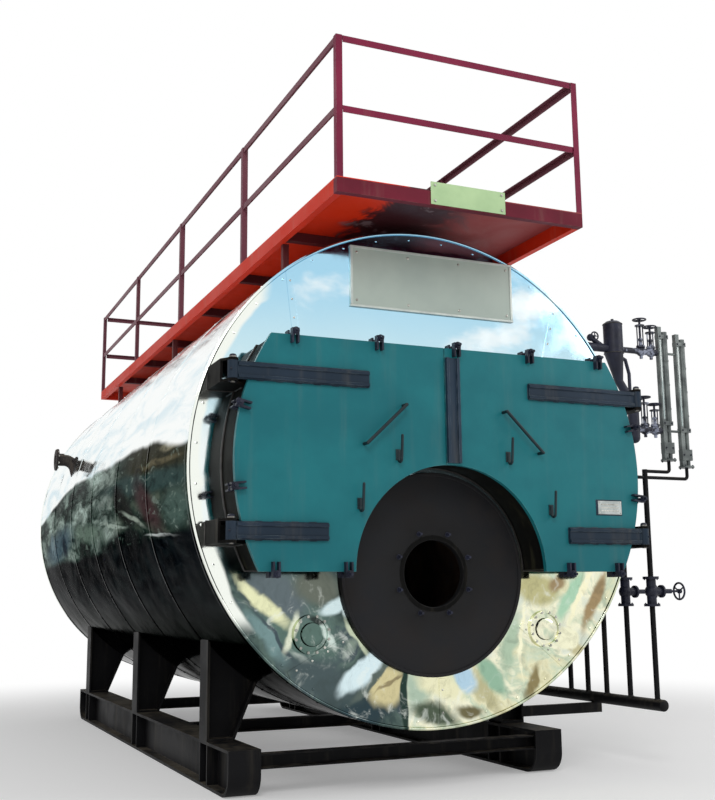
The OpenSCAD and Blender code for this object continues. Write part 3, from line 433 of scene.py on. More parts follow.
# %% The finish builder and the painted finishes
def finish(name, recipe, metal=0.0, coat=0.0, soft_edge=0.0):
    """Make a material: recipe(tree, where) gives colour, roughness, height and bump depth."""
    made = bpy.data.materials.new(name)
    tree = blank_tree(made)
    where = tree.nodes.new("ShaderNodeTexCoord").outputs["Object"]
    surface = tree.nodes.new("ShaderNodeBsdfPrincipled")
    surface.inputs["Metallic"].default_value = metal
    surface.inputs["Coat Weight"].default_value = coat
    surface.inputs["Coat Roughness"].default_value = 0.12
    got = recipe(tree, where)
    for socket, key in (("Base Color", "colour"), ("Roughness", "rough"), ("Specular Tint", "edge"),
                        ("Specular IOR Level", "spec")):
        feed(tree, surface.inputs[socket], got.get(key))
    if "height" in got:
        bump = tree.nodes.new("ShaderNodeBump")
        bump.inputs["Strength"].default_value = got.get("strength", 0.3)
        bump.inputs["Distance"].default_value = got.get("depth", 0.001)
        tree.links.new(got["height"], bump.inputs["Height"])
        if soft_edge:
            tree.links.new(put(tree, "Bevel", soft_edge, samples=4), bump.inputs["Normal"])
        tree.links.new(bump.outputs[0], surface.inputs["Normal"])
    leaves = tree.nodes.new("ShaderNodeOutputMaterial")
    tree.links.new(surface.outputs[0], leaves.inputs["Surface"])
    return made


paint_wear, paint_peel_depth, paint_edge_r, far_blend = 0.5, 0.0004, 0.003, 0.004


def painted(name, main, shaded, worn, rough, dust=0.3, streaks=0.2,
            dusty=(150, 140, 122), spec=0.2, far=None):
    """Sprayed paint: two tones from the passes, dust on top, streaks down, worn corners.

    Colours are in steps of 0 to 255. far gives a second colour and the depth y from which
    the piece is painted in it."""
    main, shaded, worn, dusty = tint(*main), tint(*shaded), tint(*worn), tint(*dusty)

    def recipe(tree, where):
        sprayed = use(tree, spray, Where=where)
        weather = use(tree, weathering, Where=where, **{"Dust amount": dust, "Streak amount": streaks})
        wears = use(tree, edge_wear, Where=where, Amount=paint_wear)
        colour = mixed(tree, sprayed["Passes"], main, shaded)
        if far:
            y = put(tree, "SeparateXYZ", where, out=1)
            colour = mixed(tree, spread(tree, y, far[1], far[1] + far_blend), colour, tint(*far[0]))
        colour = mixed(tree, weather["Streaks"], colour, dusty)
        colour = mixed(tree, weather["Dust"], colour, dusty)
        colour = mixed(tree, wears["Mask"], colour, worn)
        shine = spread(tree, sprayed["Passes"], 0.0, 1.0, rough, rough + 0.12)
        shine = plus(tree, shine, times(tree, weather["Dust"], 0.4), clamp=True)
        return {"colour": colour, "rough": shine, "spec": spec, "height": sprayed["Height"],
                "strength": 0.25, "depth": paint_peel_depth}
    return finish(name, recipe, soft_edge=paint_edge_r)


walk_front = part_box("walkway_frame")[0].y
door_paint = painted(
    "door_paint", (27, 110, 117), (20, 99, 107), (132, 168, 168), 0.36, dust=0.2, streaks=0.08)
strap_paint = painted(
    "strap_paint", (28, 44, 60), (21, 36, 50), (104, 118, 126), 0.45, streaks=0.12)
centre_paint = painted(
    "centre_paint", (40, 56, 72), (31, 47, 62), (122, 132, 140), 0.42, streaks=0.15)
bracket_paint = painted(
    "bracket_paint", (13, 13, 12), (9, 9, 9), (72, 70, 68), 0.55, dust=0.2, streaks=0.10, spec=0.06)
handle_paint = painted(
    "handle_paint", (13, 33, 39), (10, 27, 33), (92, 112, 114), 0.4, dust=0.2, streaks=0.1, spec=0.3)
smokebox_paint = painted(
    "smokebox_paint", (17, 17, 14), (11, 11, 10), (80, 78, 68), 0.6, dust=0.2, streaks=0.4,
    dusty=(88, 86, 64), spec=0.08)
skid_paint = painted(
    "skid_paint", (19, 19, 21), (14, 14, 16), (72, 70, 68), 0.5, streaks=0.10, spec=0.1)
# painted haze: the rails behind the front are given a greyer colour
rail_maroon = painted(
    "rail_maroon", (122, 30, 60), (104, 25, 52), (162, 120, 128), 0.45, dust=0.25, streaks=0.12,
    far=((104, 56, 68), walk_front + 0.06))
walkway_red = painted(
    "walkway_red", (106, 22, 42), (90, 18, 36), (150, 110, 100), 0.5,
    far=((200, 42, 12), walk_front + 0.055))
walkway_dark_red = painted(
    "walkway_dark_red", (88, 28, 32), (70, 24, 28), (132, 100, 96), 0.55)
outlet_primer = painted(
    "outlet_primer", (52, 45, 44), (42, 38, 38), (112, 106, 102), 0.6, streaks=0.3)


def deck_recipe(tree, where):
    """The deck: orange-red along its left edge and dark maroon across the middle, where the
    dark is painted shade; lighter to the right, rubbed grey in patches, turning brown towards the rear.
    """
    x = minus(tree, put(tree, "SeparateXYZ", where), axis.x)
    y = put(tree, "SeparateXYZ", where, out=1)
    sprayed = use(tree, spray, Where=where)
    weather = use(tree, weathering, Where=where, **{"Dust amount": 0.4, "Streak amount": 0.2})
    patches = noise(tree, where, 2.6, 5.0, 0.62, 0.8)
    wander = plus(tree, x, spread(tree, patches, 0.3, 0.7, -0.12, 0.12))
    # painted shade: dark maroon across the middle of the underside, lighter towards the right
    shaded_underside = mixed(tree, spread(tree, wander, 0.0, 0.35), tint(62, 28, 32), tint(150, 66, 66))
    rubbed = times(tree, spread(tree, patches, 0.54, 0.62), spread(tree, wander, 0.25, 0.0))
    shaded_underside = mixed(tree, times(tree, rubbed, 0.6), shaded_underside, tint(140, 126, 130))
    colour = mixed(tree, spread(tree, wander, -0.42, -0.54), shaded_underside, tint(214, 50, 16))
    # towards the rear the colour turns brown
    towards_rear = spread(tree, y, walk_front + 1.8, walk_front + 6.5)
    colour = mixed(tree, times(tree, towards_rear, 0.45), colour, tint(120, 60, 52))
    colour = mixed(tree, weather["Dust"], colour, tint(128, 112, 108))
    return {"colour": colour, "rough": spread(tree, patches, 0.3, 0.7, 0.45, 0.65), "spec": 0.2,
            "height": sprayed["Height"], "strength": 0.25, "depth": paint_peel_depth}


deck_paint = finish("deck_paint", deck_recipe)
print(f"{len(bpy.data.materials)} materials so far")

# %% [markdown]
# Bare and half-bare metal: cast fittings nearly black with oil, turned steel, the grey
# gauges. The burner plate and the refractory are matt and mottled.

# %% Steel, castings and refractory
def metal_recipe(light, dark, rough, grain=60.0, mottle=0.5, spec=0.5, lean=0.0):
    """Metal with a fine grain, mottled from dark to light; lean shifts it towards the dark."""
    light, dark = tint(*light), tint(*dark)
    start, end = 0.5 - mottle / 2 + lean, 0.5 + mottle / 2 + lean

    def recipe(tree, where):
        fine = noise(tree, where, grain, 4.0, 0.6)
        broad = noise(tree, where, grain / 9, 3.0, 0.5)
        wears = use(tree, edge_wear, Where=where, Radius=0.002, Amount=0.8, **{"Patch scale": 30.0})
        colour = mixed(tree, spread(tree, broad, start, end), dark, light)
        colour = mixed(tree, wears["Mask"], colour, light)
        return {"colour": colour, "rough": spread(tree, fine, 0.3, 0.7, rough - 0.08, rough + 0.12),
                "spec": spec, "height": fine, "strength": 0.3, "depth": 0.0006}
    return recipe


dark_fittings = finish("dark_fittings", metal_recipe((40, 43, 60), (20, 22, 34), 0.42, spec=0.25))
# the light grey patches on this dark casting are painted highlights; its edges are worn light as well
casting_wear_and_highlights = finish("casting_wear_and_highlights", metal_recipe(
    (142, 148, 166), (22, 24, 38), 0.38, 150.0, 0.12, spec=0.3, lean=0.07))
pin_steel = finish("pin_steel", metal_recipe((150, 148, 142), (96, 94, 90), 0.34), metal=0.9)
gauge_steel = finish("gauge_steel", metal_recipe(
    (112, 119, 117), (70, 76, 76), 0.40, mottle=0.3, spec=0.4), metal=0.2)
bolt_steel = finish("bolt_steel", metal_recipe((206, 206, 198), (128, 128, 122), 0.3), metal=0.9)
weld_steel = finish("weld_steel", metal_recipe((58, 55, 53), (30, 29, 29), 0.5, 220.0), metal=0.2)

burner_low, burner_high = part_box("burner_plate")
burner_c = (burner_low + burner_high) / 2
burner_c.y = burner_low.y


def burner_recipe(tree, where):
    low = noise(tree, where, 3.2, 5.0, 0.62)
    fine = noise(tree, where, 90.0, 3.0, 0.6)
    hot = put(tree, "VectorMath", where, tuple(burner_c), operation="DISTANCE")
    colour = mixed(tree, spread(tree, low, 0.35, 0.68), tint(26, 27, 30), tint(36, 34, 34))
    colour = mixed(tree, spread(tree, hot, 0.52, 0.24), colour, tint(24, 24, 25))
    return {"colour": colour, "rough": spread(tree, low, 0.3, 0.7, 0.5, 0.75), "spec": 0.15,
            "height": fine, "strength": 0.35, "depth": 0.0008}


burner_plate_paint = finish("burner_plate_paint", burner_recipe)


def refractory_recipe(tree, where):
    lumps = noise(tree, where, 7.0, 6.0, 0.66)
    grit = noise(tree, where, 120.0, 3.0, 0.7)
    cells = tree.nodes.new("ShaderNodeTexVoronoi")
    cells.feature = "DISTANCE_TO_EDGE"
    cells.inputs["Scale"].default_value = 3.4
    tree.links.new(noise(tree, where, 2.0, 3.0, 0.5, 0.6, out=1), cells.inputs["Vector"])
    crack = spread(tree, cells.outputs["Distance"], 0.012, 0.0)
    colour = mixed(tree, spread(tree, lumps, 0.36, 0.66), tint(150, 136, 112), tint(120, 106, 88))
    colour = mixed(tree, crack, colour, tint(84, 72, 60))
    height = minus(tree, plus(tree, lumps, times(tree, grit, 0.4)), crack)
    return {"colour": colour, "rough": 0.92, "height": height, "strength": 0.7, "depth": 0.004}


refractory = finish("refractory", refractory_recipe)


def plate_recipe(tree, where):
    scale = noise(tree, where, 5.0, 5.0, 0.62)
    soot = noise(tree, where, 1.4, 3.0, 0.5)
    colour = ramp(tree, scale, [(0.30, (64, 58, 56)), (0.52, (104, 84, 70)), (0.70, (84, 82, 84))])
    colour = mixed(tree, spread(tree, soot, 0.42, 0.62), colour, tint(38, 36, 36))
    return {"colour": colour, "rough": 0.62, "height": scale, "strength": 0.4, "depth": 0.001}


tube_plate_steel = finish("tube_plate_steel", plate_recipe, metal=0.3)
print(f"{len(bpy.data.materials)} materials so far")

# %% [markdown]
# The polished front is the heart of the picture. A mirror in a plain white room looks
# like nothing, so what the real plate mirrors is painted into its metal as painted
# reflections: clear blue sky with soft cloud over the doors, a pale strip at the left, and
# below the doors greens and creams, crumpled into wedges that fan out round the burner. The
# fan comes from the angle round the burner plate, so the wedges point where the bent sheet
# makes them point.

# %% The polished front plate and its painted reflections
def front_place(tree, where):
    """Sideways and upward distance from the drum's axis, and the angle round the burner."""
    x, _, z = split(tree, where)
    x = minus(tree, x, axis.x)
    z = minus(tree, z, axis.z)
    from_x = minus(tree, x, burner_c.x - axis.x)
    from_z = minus(tree, z, burner_c.z - axis.z)
    return x, z, math_of(tree, "ARCTAN2", from_x, times(tree, from_z, -1.0))


any_depth = 1000


def patch(tree, colour, where, spots):
    """Soft-edged patches painted over a colour.

    Each spot is a middle (x and z from the drum's axis), half a length and half a width,
    how far its length rises above +X in degrees, how soft its edge is, and its colour in
    steps of 0 to 255."""
    for x, z, long, wide, rise, soft, shade in spots:
        place = tree.nodes.new("ShaderNodeMapping")
        place.vector_type = "TEXTURE"
        tree.links.new(where, place.inputs["Vector"])
        place.inputs["Location"].default_value = (axis.x + x, 0, axis.z + z)
        place.inputs["Rotation"].default_value = (0, -math.radians(rise), 0)
        place.inputs["Scale"].default_value = (long, any_depth, wide)
        away = put(tree, "VectorMath", place.outputs[0], operation="LENGTH")
        colour = mixed(tree, spread(tree, away, 1 + soft, 1 - soft), colour, tint(*shade))
    return colour


# painted reflections: soft patches of greens, creams and whites mirrored in the sheet round the burner
left_of_burner = [
    (-0.98, -1.08, 0.30, 0.22, -40, 0.5, (92, 116, 108)),
    (-1.14, -0.84, 0.24, 0.13, -30, 0.4, (98, 110, 114)),
    (-0.84, -0.80, 0.16, 0.10, 0, 0.4, (104, 110, 100)),
    (-1.18, -1.12, 0.24, 0.05, -47, 0.5, (118, 146, 146)),
    (-1.10, -1.14, 0.26, 0.014, -49, 0.5, (70, 84, 90)),
    (-1.24, -0.88, 0.23, 0.042, -40, 0.4, (232, 234, 190)),
    (-0.73, -0.91, 0.11, 0.045, 25, 0.35, (206, 226, 228)),
    (-1.025, -1.08, 0.12, 0.026, 76, 0.45, (226, 232, 208)),
    (-0.79, -1.10, 0.10, 0.022, -62, 0.5, (204, 220, 212)),
    (-0.92, -1.26, 0.10, 0.020, -32, 0.5, (216, 228, 218)),
    (-0.86, -1.01, 0.05, 0.020, -30, 0.5, (52, 60, 58)),
    (-0.64, -0.90, 0.08, 0.03, 80, 0.3, (214, 232, 234)),
    (-0.575, -1.13, 0.15, 0.022, -59, 0.4, (196, 206, 178)),
    (-0.83, -1.39, 0.28, 0.12, -28, 0.4, (76, 90, 92)),
    (-0.50, -1.60, 0.30, 0.08, 14, 0.5, (50, 66, 72)),
    (-0.36, -1.46, 0.14, 0.13, 0, 0.3, (208, 198, 152)),
    (-0.33, -1.44, 0.12, 0.012, 25, 0.5, (150, 138, 104)),
    (-0.455, -1.40, 0.20, 0.030, 42, 0.3, (92, 104, 98)),
    (-0.535, -1.355, 0.21, 0.070, 39, 0.22, (214, 234, 238)),
]
right_of_burner = [
    (-0.12, -1.46, 0.10, 0.16, 0, 0.5, (172, 192, 172)),
    (0.05, -1.47, 0.20, 0.08, -20, 0.3, (234, 232, 194)),
    (0.00, -1.65, 0.18, 0.07, -15, 0.35, (80, 92, 76)),
    (0.27, -1.64, 0.09, 0.038, -12, 0.4, (112, 106, 76)),
    (0.24, -1.42, 0.12, 0.065, -48, 0.3, (178, 208, 226)),
    (0.44, -1.41, 0.16, 0.070, -50, 0.35, (148, 184, 158)),
    (0.62, -1.20, 0.22, 0.060, 72, 0.5, (176, 198, 172)),
    (0.72, -1.16, 0.26, 0.016, 84, 0.5, (250, 248, 214)),
    (0.79, -1.45, 0.12, 0.045, 55, 0.4, (142, 130, 92)),
    (0.86, -0.82, 0.18, 0.10, -12, 0.3, (190, 186, 138)),
    (1.02, -0.78, 0.07, 0.05, 40, 0.4, (158, 138, 104)),
    (1.14, -0.87, 0.19, 0.055, 60, 0.35, (172, 210, 180)),
    (1.24, -0.85, 0.22, 0.026, 63, 0.35, (250, 246, 210)),
    (1.35, -0.91, 0.22, 0.045, 65, 0.35, (164, 142, 106)),
    (1.17, -1.24, 0.09, 0.050, -30, 0.35, (196, 190, 150)),
    (1.10, -1.16, 0.11, 0.085, 0, 0.15, (244, 243, 210)),
]
seam = [(-0.222, -1.55, 0.26, 0.024, 90, 0.25, (44, 62, 56))]


def front_recipe(tree, where):
    waves = use(tree, sheet_waves, Where=where, Bend=0.12, **{"Wave scale": 2.1})
    crumple = use(tree, sheet_waves, Where=waves["Bent"], Bend=0.05, **{"Wave scale": 9.0})
    x, z, fan = front_place(tree, waves["Bent"])
    # painted reflection of the sky: deeper blue higher up, with pale cloud over it
    cloud = noise(tree, stretched(tree, waves["Bent"], 0.9, 1.0, 1.8), 1.5, 4.0, 0.5)
    high = mixed(tree, spread(tree, z, 0.6, 1.4), tint(204, 232, 239), tint(166, 213, 236))
    high = mixed(tree, spread(tree, cloud, 0.55, 0.72), high, tint(234, 245, 248))
    # painted reflection: a pale strip at the left of the plate
    haze = times(tree, spread(tree, x, -1.18, -1.40), spread(tree, z, 0.42, 0.08))
    high = mixed(tree, haze, high, tint(240, 247, 246))
    wedge = noise(tree, joined(tree, fan, times(tree, z, 0.22)), 2.4, 3.0, 0.55, 0.5)
    creases = noise(tree, crumple["Bent"], 2.6, 4.0, 0.55, 1.4)
    both = plus(tree, times(tree, wedge, 0.55), times(tree, creases, 0.45))
    both = spread(tree, both, 0.34, 0.66)
    # painted reflections below the doors: dull greens left of the burner, creams right of it
    dull = ramp(tree, both, [
        (0.0, (46, 58, 62)), (0.35, (66, 82, 80)), (0.62, (92, 110, 104)),
        (0.80, (72, 84, 90)), (1.0, (140, 156, 142))])
    warm = ramp(tree, both, [
        (0.0, (186, 182, 142)), (0.30, (232, 229, 192)), (0.55, (200, 214, 188)),
        (0.75, (246, 244, 214)), (1.0, (214, 222, 206))])
    dull = patch(tree, dull, crumple["Bent"], left_of_burner)
    warm = patch(tree, warm, crumple["Bent"], right_of_burner)
    low = mixed(tree, spread(tree, x, -0.25, -0.19), dull, warm)
    low = patch(tree, low, waves["Bent"], seam)
    # painted shade and painted highlights in the crumples of the sheet
    shade = noise(tree, crumple["Bent"], 6.5, 5.0, 0.62, 1.2)
    low = mixed(tree, spread(tree, shade, 0.52, 0.30, 0.0, 0.24), low, tint(52, 60, 54))
    low = mixed(tree, spread(tree, shade, 0.55, 0.72, 0.0, 0.42), low, tint(238, 244, 236))
    colour = mixed(tree, spread(tree, z, -0.42, -0.66), high, low)
    # a painted highlight: a bright reflection along the lower left of the plate's rim
    from_axis = put(tree, "VectorMath", joined(tree, x, 0.0, z), operation="LENGTH")
    rim = times(tree, spread(tree, from_axis, 1.655, 1.685), spread(tree, x, -1.18, -1.28))
    rim = times(tree, rim, spread(tree, z, -1.10, -0.96))
    colour = mixed(tree, rim, colour, tint(244, 248, 240))
    smear = noise(tree, where, 5.0, 5.0, 0.6)
    return {"colour": colour, "rough": spread(tree, smear, 0.35, 0.7, 0.05, 0.16),
            "height": waves["Height"], "strength": 0.3, "depth": 0.02, "edge": colour}


polished_front = finish("polished_front", front_recipe, metal=1.0)
print(f"{len(left_of_burner + right_of_burner + seam)} soft patches on the front plate")

# %% [markdown]
# The shell's colour is painted reflection and painted shade: near white above where it
# mirrors the sky, broken greens and browns in the middle where it mirrors leaves, and dark
# below as painted shade. So its colour follows its height, bent by waves like those of the
# front plate. The middle band has its own patches, placed by their distance along the drum.
# The rear plate keeps to the same three bands in a plainer way.

# %% The polished shell and the rear plate
# painted reflections: patches of the shell's middle band, placed along the drum
shell_band = [
    (0.95, 0.13, 1.00, 0.19, 4, 0.35, (62, 62, 50)),
    (1.30, 0.00, 1.60, 0.075, 3, 0.4, (64, 82, 80)),
    (0.80, 0.10, 0.55, 0.022, 3, 0.5, (104, 98, 78)),
    (0.50, 0.17, 0.30, 0.025, 3, 0.5, (136, 132, 112)),
    (2.05, -0.12, 0.40, 0.12, 20, 0.4, (48, 50, 48)),
    (1.20, -0.18, 0.42, 0.13, 25, 0.55, (82, 69, 70)),
    (0.36, -0.25, 0.36, 0.13, 0, 0.4, (84, 102, 96)),
    (1.70, -0.24, 0.35, 0.022, 14, 0.5, (152, 162, 152)),
    (2.45, -0.25, 0.45, 0.018, 6, 0.5, (160, 172, 164)),
    (2.20, -0.42, 0.90, 0.10, 0, 0.4, (30, 38, 38)),
    (3.75, -0.24, 0.80, 0.08, 4, 0.5, (118, 134, 124)),
    (5.50, -0.30, 0.90, 0.15, -6, 0.5, (96, 114, 122)),
    (5.90, -0.28, 0.12, 0.13, 0, 0.6, (130, 148, 154)),
    (5.10, -0.32, 0.14, 0.11, 0, 0.5, (54, 66, 76)),
    (4.20, -0.53, 0.10, 0.028, 0, 0.5, (140, 168, 168)),
    (0.84, -0.418, 0.42, 0.010, 3, 0.5, (206, 212, 210)),
]


def edge_on(tree, colour, along, level):
    """The tint that keeps a dark metal its own colour where it is seen nearly edge-on."""
    share = minus(tree, 0.34, times(tree, along, 0.058))
    share = math_of(tree, "MAXIMUM", share, 0.05)
    share = times(tree, share, spread(tree, level, -0.9, -1.4, 1.0, 0.45))
    return mixed(tree, share, colour, tint(255, 255, 255))


def shell_recipe(tree, where):
    flat = stretched(tree, where, 1.0, 0.5, 1.0)
    waves = use(tree, sheet_waves, Where=flat, Bend=0.12, **{"Wave scale": 2.4})
    moved = put(tree, "VectorMath", waves["Bent"], flat, operation="SUBTRACT")
    pull = put(tree, "SeparateXYZ", moved, out=2)
    _, y, z = split(tree, where)
    level = minus(tree, z, axis.z)
    height = plus(tree, level, pull)
    along = minus(tree, y, axis.y)
    side_on = joined(tree, along, 0.0, height)
    # painted reflections: the mottled greens and leaves that the shell mirrors
    mottle = noise(tree, stretched(tree, side_on, 0.62, 1.0, 2.6), 2.2, 5.0, 0.58, 0.8)
    leaves = noise(tree, stretched(tree, side_on, 0.8, 1.0, 2.2), 7.0, 4.0, 0.6, 0.6)
    both = plus(tree, times(tree, mottle, 0.6), times(tree, leaves, 0.4))
    both = spread(tree, both, 0.34, 0.66)
    greens = ramp(tree, both, [
        (0.0, (38, 46, 44)), (0.35, (68, 80, 75)), (0.55, (106, 120, 114)),
        (0.78, (144, 157, 150)), (1.0, (188, 204, 197))])
    near = ramp(tree, both, [(0.0, (34, 40, 40)), (0.5, (62, 74, 68)), (1.0, (104, 114, 102))])
    greens = mixed(tree, spread(tree, along, 2.9, 1.9), greens, near)
    sheared = joined(tree, plus(tree, along, axis.x), 0.0, plus(tree, height, axis.z))
    greens = patch(tree, greens, sheared, shell_band)
    greens = mixed(tree, spread(tree, leaves, 0.50, 0.68, 0.0, 0.5), greens, tint(32, 38, 38))
    greens = mixed(tree, spread(tree, leaves, 0.44, 0.30, 0.0, 0.4), greens, tint(158, 174, 164))
    # painted shade: the dark lower part of the shell
    under = mixed(tree, spread(tree, mottle, 0.40, 0.66), tint(38, 40, 42), tint(49, 53, 54))
    under = mixed(tree, spread(tree, leaves, 0.60, 0.76), under, tint(58, 61, 65))
    under = mixed(tree, spread(tree, level, -0.85, -1.15), under, tint(38, 43, 40))
    edge = minus(tree, height, spread(tree, along, 0.0, 6.8, 0.02, -0.05))
    colour = mixed(tree, spread(tree, edge, -0.40, -0.47), greens, under)
    # painted reflection of the sky on the shell's upper part
    high = mixed(tree, spread(tree, mottle, 0.44, 0.70), tint(250, 252, 251), tint(228, 240, 244))
    top = minus(tree, height, spread(tree, along, 0.1, 1.3, 0.12, 0.27))
    top = plus(tree, top, spread(tree, along, 4.6, 7.2, 0.0, 0.30))
    colour = mixed(tree, spread(tree, top, -0.01, 0.04), colour, high)
    # painted shade, near black towards the bottom of the drum
    colour = mixed(tree, spread(tree, level, -1.10, -1.60), colour, tint(24, 25, 27))
    smear = noise(tree, where, 4.0, 5.0, 0.6)
    return {"colour": colour, "rough": spread(tree, smear, 0.35, 0.7, 0.07, 0.20),
            "height": waves["Height"], "strength": 0.3, "depth": 0.02,
            "edge": edge_on(tree, colour, along, level)}


polished_shell = finish("polished_shell", shell_recipe, metal=1.0)


def rear_recipe(tree, where):
    waves = use(tree, sheet_waves, Where=where, Bend=0.14, **{"Wave scale": 1.9})
    _, _, z = split(tree, waves["Bent"])
    z = minus(tree, z, axis.z)
    patches = noise(tree, stretched(tree, waves["Bent"], 0.8, 1.0, 1.7), 1.7, 4.0, 0.55, 0.5)
    # painted reflection of the sky and cloud on the plate's upper part
    high = mixed(tree, spread(tree, z, 0.1, 1.4), tint(208, 230, 238), tint(168, 210, 232))
    high = mixed(tree, spread(tree, patches, 0.50, 0.66), high, tint(238, 246, 248))
    # painted reflections on the lower part, and painted shade darker towards the bottom
    low = ramp(tree, spread(tree, patches, 0.34, 0.66), [
        (0.0, (54, 62, 58)), (0.35, (86, 98, 90)), (0.6, (160, 162, 140)),
        (0.8, (112, 120, 108)), (1.0, (204, 210, 200))])
    low = mixed(tree, spread(tree, z, -0.75, -1.10), low, tint(48, 54, 54))
    colour = mixed(tree, spread(tree, z, 0.02, -0.16), high, low)
    smear = noise(tree, where, 5.0, 5.0, 0.6)
    return {"colour": colour, "rough": spread(tree, smear, 0.35, 0.7, 0.08, 0.22),
            "height": waves["Height"], "strength": 0.3, "depth": 0.02, "edge": colour}


polished_rear = finish("polished_rear", rear_recipe, metal=1.0)
print("three polished finishes")

# %% [markdown]
# A few finishes belong only to small pieces: the plain sign panel, the little data plate,
# the green plate on the walkway, gauge glass, its water and gasket cord.

# %% Finishes for the small pieces
def plain_recipe(one, two, rough, scale=6.0, depth=0.0003):
    """Two close colours in broad patches, with a fine grain and lightly worn edges."""
    one, two = tint(*one), tint(*two)

    def recipe(tree, where):
        broad = noise(tree, where, scale, 4.0, 0.6)
        fine = noise(tree, where, scale * 25, 3.0, 0.6)
        wears = use(tree, edge_wear, Where=where, Radius=0.003, Amount=0.4)
        colour = mixed(tree, spread(tree, broad, 0.36, 0.66), one, two)
        colour = mixed(tree, wears["Mask"], colour, tint(220, 220, 214))
        return {"colour": colour, "rough": spread(tree, fine, 0.3, 0.7, rough - 0.06, rough + 0.08),
                "height": fine, "strength": 0.25, "depth": depth}
    return recipe


sign_paint = finish("sign_paint", plain_recipe((170, 184, 174), (158, 172, 164), 0.4, 1.4), coat=0.3)
sign_frame = finish("sign_frame", plain_recipe((196, 204, 198), (176, 184, 180), 0.35), metal=0.5)
data_plate = finish("data_plate", plain_recipe((178, 184, 182), (150, 158, 156), 0.35, 12.0), metal=0.6)
fascia_paint = finish("fascia_paint", plain_recipe((176, 204, 154), (158, 188, 140), 0.45, 2.0))
gasket_cord = finish("gasket_cord", plain_recipe((186, 178, 160), (150, 142, 126), 0.9, 20.0, 0.001))
gauge_glass = finish("gauge_glass", plain_recipe((172, 184, 180), (150, 166, 162), 0.12, 3.0), coat=1.0)
gauge_water = finish("gauge_water", plain_recipe((112, 136, 134), (92, 118, 118), 0.12, 3.0), coat=1.0)
print(f"{len(bpy.data.materials)} materials in all")

# %% [markdown]
# The frame names a material for each solid. The table below ties those names to the
# finishes, and names the few solids that want their own.

# %% Give every solid its finish
by_slot = {
    "polished_cladding": polished_shell, "tube_plate_steel": tube_plate_steel,
    "burner_plate_paint": burner_plate_paint, "smokebox_paint": smokebox_paint,
    "door_paint": door_paint, "refractory": refractory, "strap_paint": strap_paint,
    "dark_fittings": dark_fittings, "pin_steel": pin_steel, "skid_paint": skid_paint,
    "walkway_red": walkway_red, "walkway_dark_red": walkway_dark_red,
    "rail_maroon": rail_maroon, "gauge_steel": gauge_steel, "outlet_primer": outlet_primer,
}
by_name = {
    "front_cladding": polished_front, "rear_cladding": polished_rear,
    "handhole_covers": polished_front, "centre_strip": centre_paint,
    "hinge_brackets": bracket_paint, "left_door_handles": handle_paint,
    "right_door_handles": handle_paint, "gauge_valves": casting_wear_and_highlights,
    "walkway_deck": deck_paint,
}
for row in frame["record"]["subparts"]:
    name = row["node"]
    chosen = by_name.get(name, by_slot[row["material_slot"]])
    skin = nodes[name].data.materials
    if len(skin) == 0:
        skin.append(chosen)
    for i in range(len(skin)):
        skin[i] = chosen

# %% [markdown]
# The small pieces come next. They are all made from a few shapes, each added to a mesh
# that is being built: a slab, a rod, a turned profile, a hexagon head and a bent cord.
# The last helper turns the finished mesh into an object that rides on its body.

# %% Shapes that the small pieces are made of
to_front, to_rear, to_right, upward = (0, -1, 0), (0, 1, 0), (1, 0, 0), (0, 0, 1)


def facing(direction):
    """The turn that takes +Z to a direction."""
    return Vector(direction).to_track_quat("Z", "Y").to_matrix().to_4x4()


def ring_of(count, radius, shift=0.0):
    """Places round a circle, each as two distances from its middle; shift is in steps."""
    for i in range(count):
        angle = math.tau * (i + shift) / count
        yield radius * math.cos(angle), radius * math.sin(angle)


def slab(bm, centre, size, turned=None):
    made = bmesh.ops.create_cube(bm, size=1.0)["verts"]
    shape = Matrix.Translation(centre) @ (turned or Matrix.Identity(4)) @ Matrix.Diagonal((*size, 1))
    bmesh.ops.transform(bm, matrix=shape, verts=made)


def loft(bm, rings, capped=True, looped=False):
    """Faces between rings of points. Capped closes both ends; looped joins last to first."""
    for one, two in zip(rings, rings[1:] + (rings[:1] if looped else [])):
        for i in range(len(one)):
            j = (i + 1) % len(one)
            bm.faces.new((one[i], one[j], two[j], two[i]))
    if capped:
        bm.faces.new(list(reversed(rings[0])))
        bm.faces.new(rings[-1])


def lathe(bm, origin, direction, profile, steps=24, closed=True):
    """Turn a profile of (radius, distance along the direction) about its axis."""
    shape = Matrix.Translation(origin) @ facing(direction)
    rings = []
    for radius, along in profile:
        rings.append([bm.verts.new(shape @ Vector((x, y, along))) for x, y in ring_of(steps, radius)])
    loft(bm, rings, capped=closed, looped=not closed)


def rod(bm, start, end, radius, steps):
    """A round bar with a small chamfer at both ends."""
    start, end = Vector(start), Vector(end)
    length = (end - start).length
    cut = min(radius * 0.15, length / 4)
    profile = [(radius - cut, 0), (radius, cut), (radius, length - cut), (radius - cut, length)]
    lathe(bm, start, end - start, profile, steps)


def hexagon(bm, centre, direction, across, thick):
    """A bolt head or nut, its corners turned off, with the bolt's end standing proud."""
    r = across / math.sqrt(3)
    head = [(r, 0), (r, thick * 0.75), (r * 0.9, thick)]
    bolt_end = [(r * 0.5, thick * 0.9), (r * 0.5, thick * 1.25), (r * 0.38, thick * 1.4)]
    lathe(bm, centre, direction, head, 6)
    lathe(bm, centre, direction, bolt_end, 10)


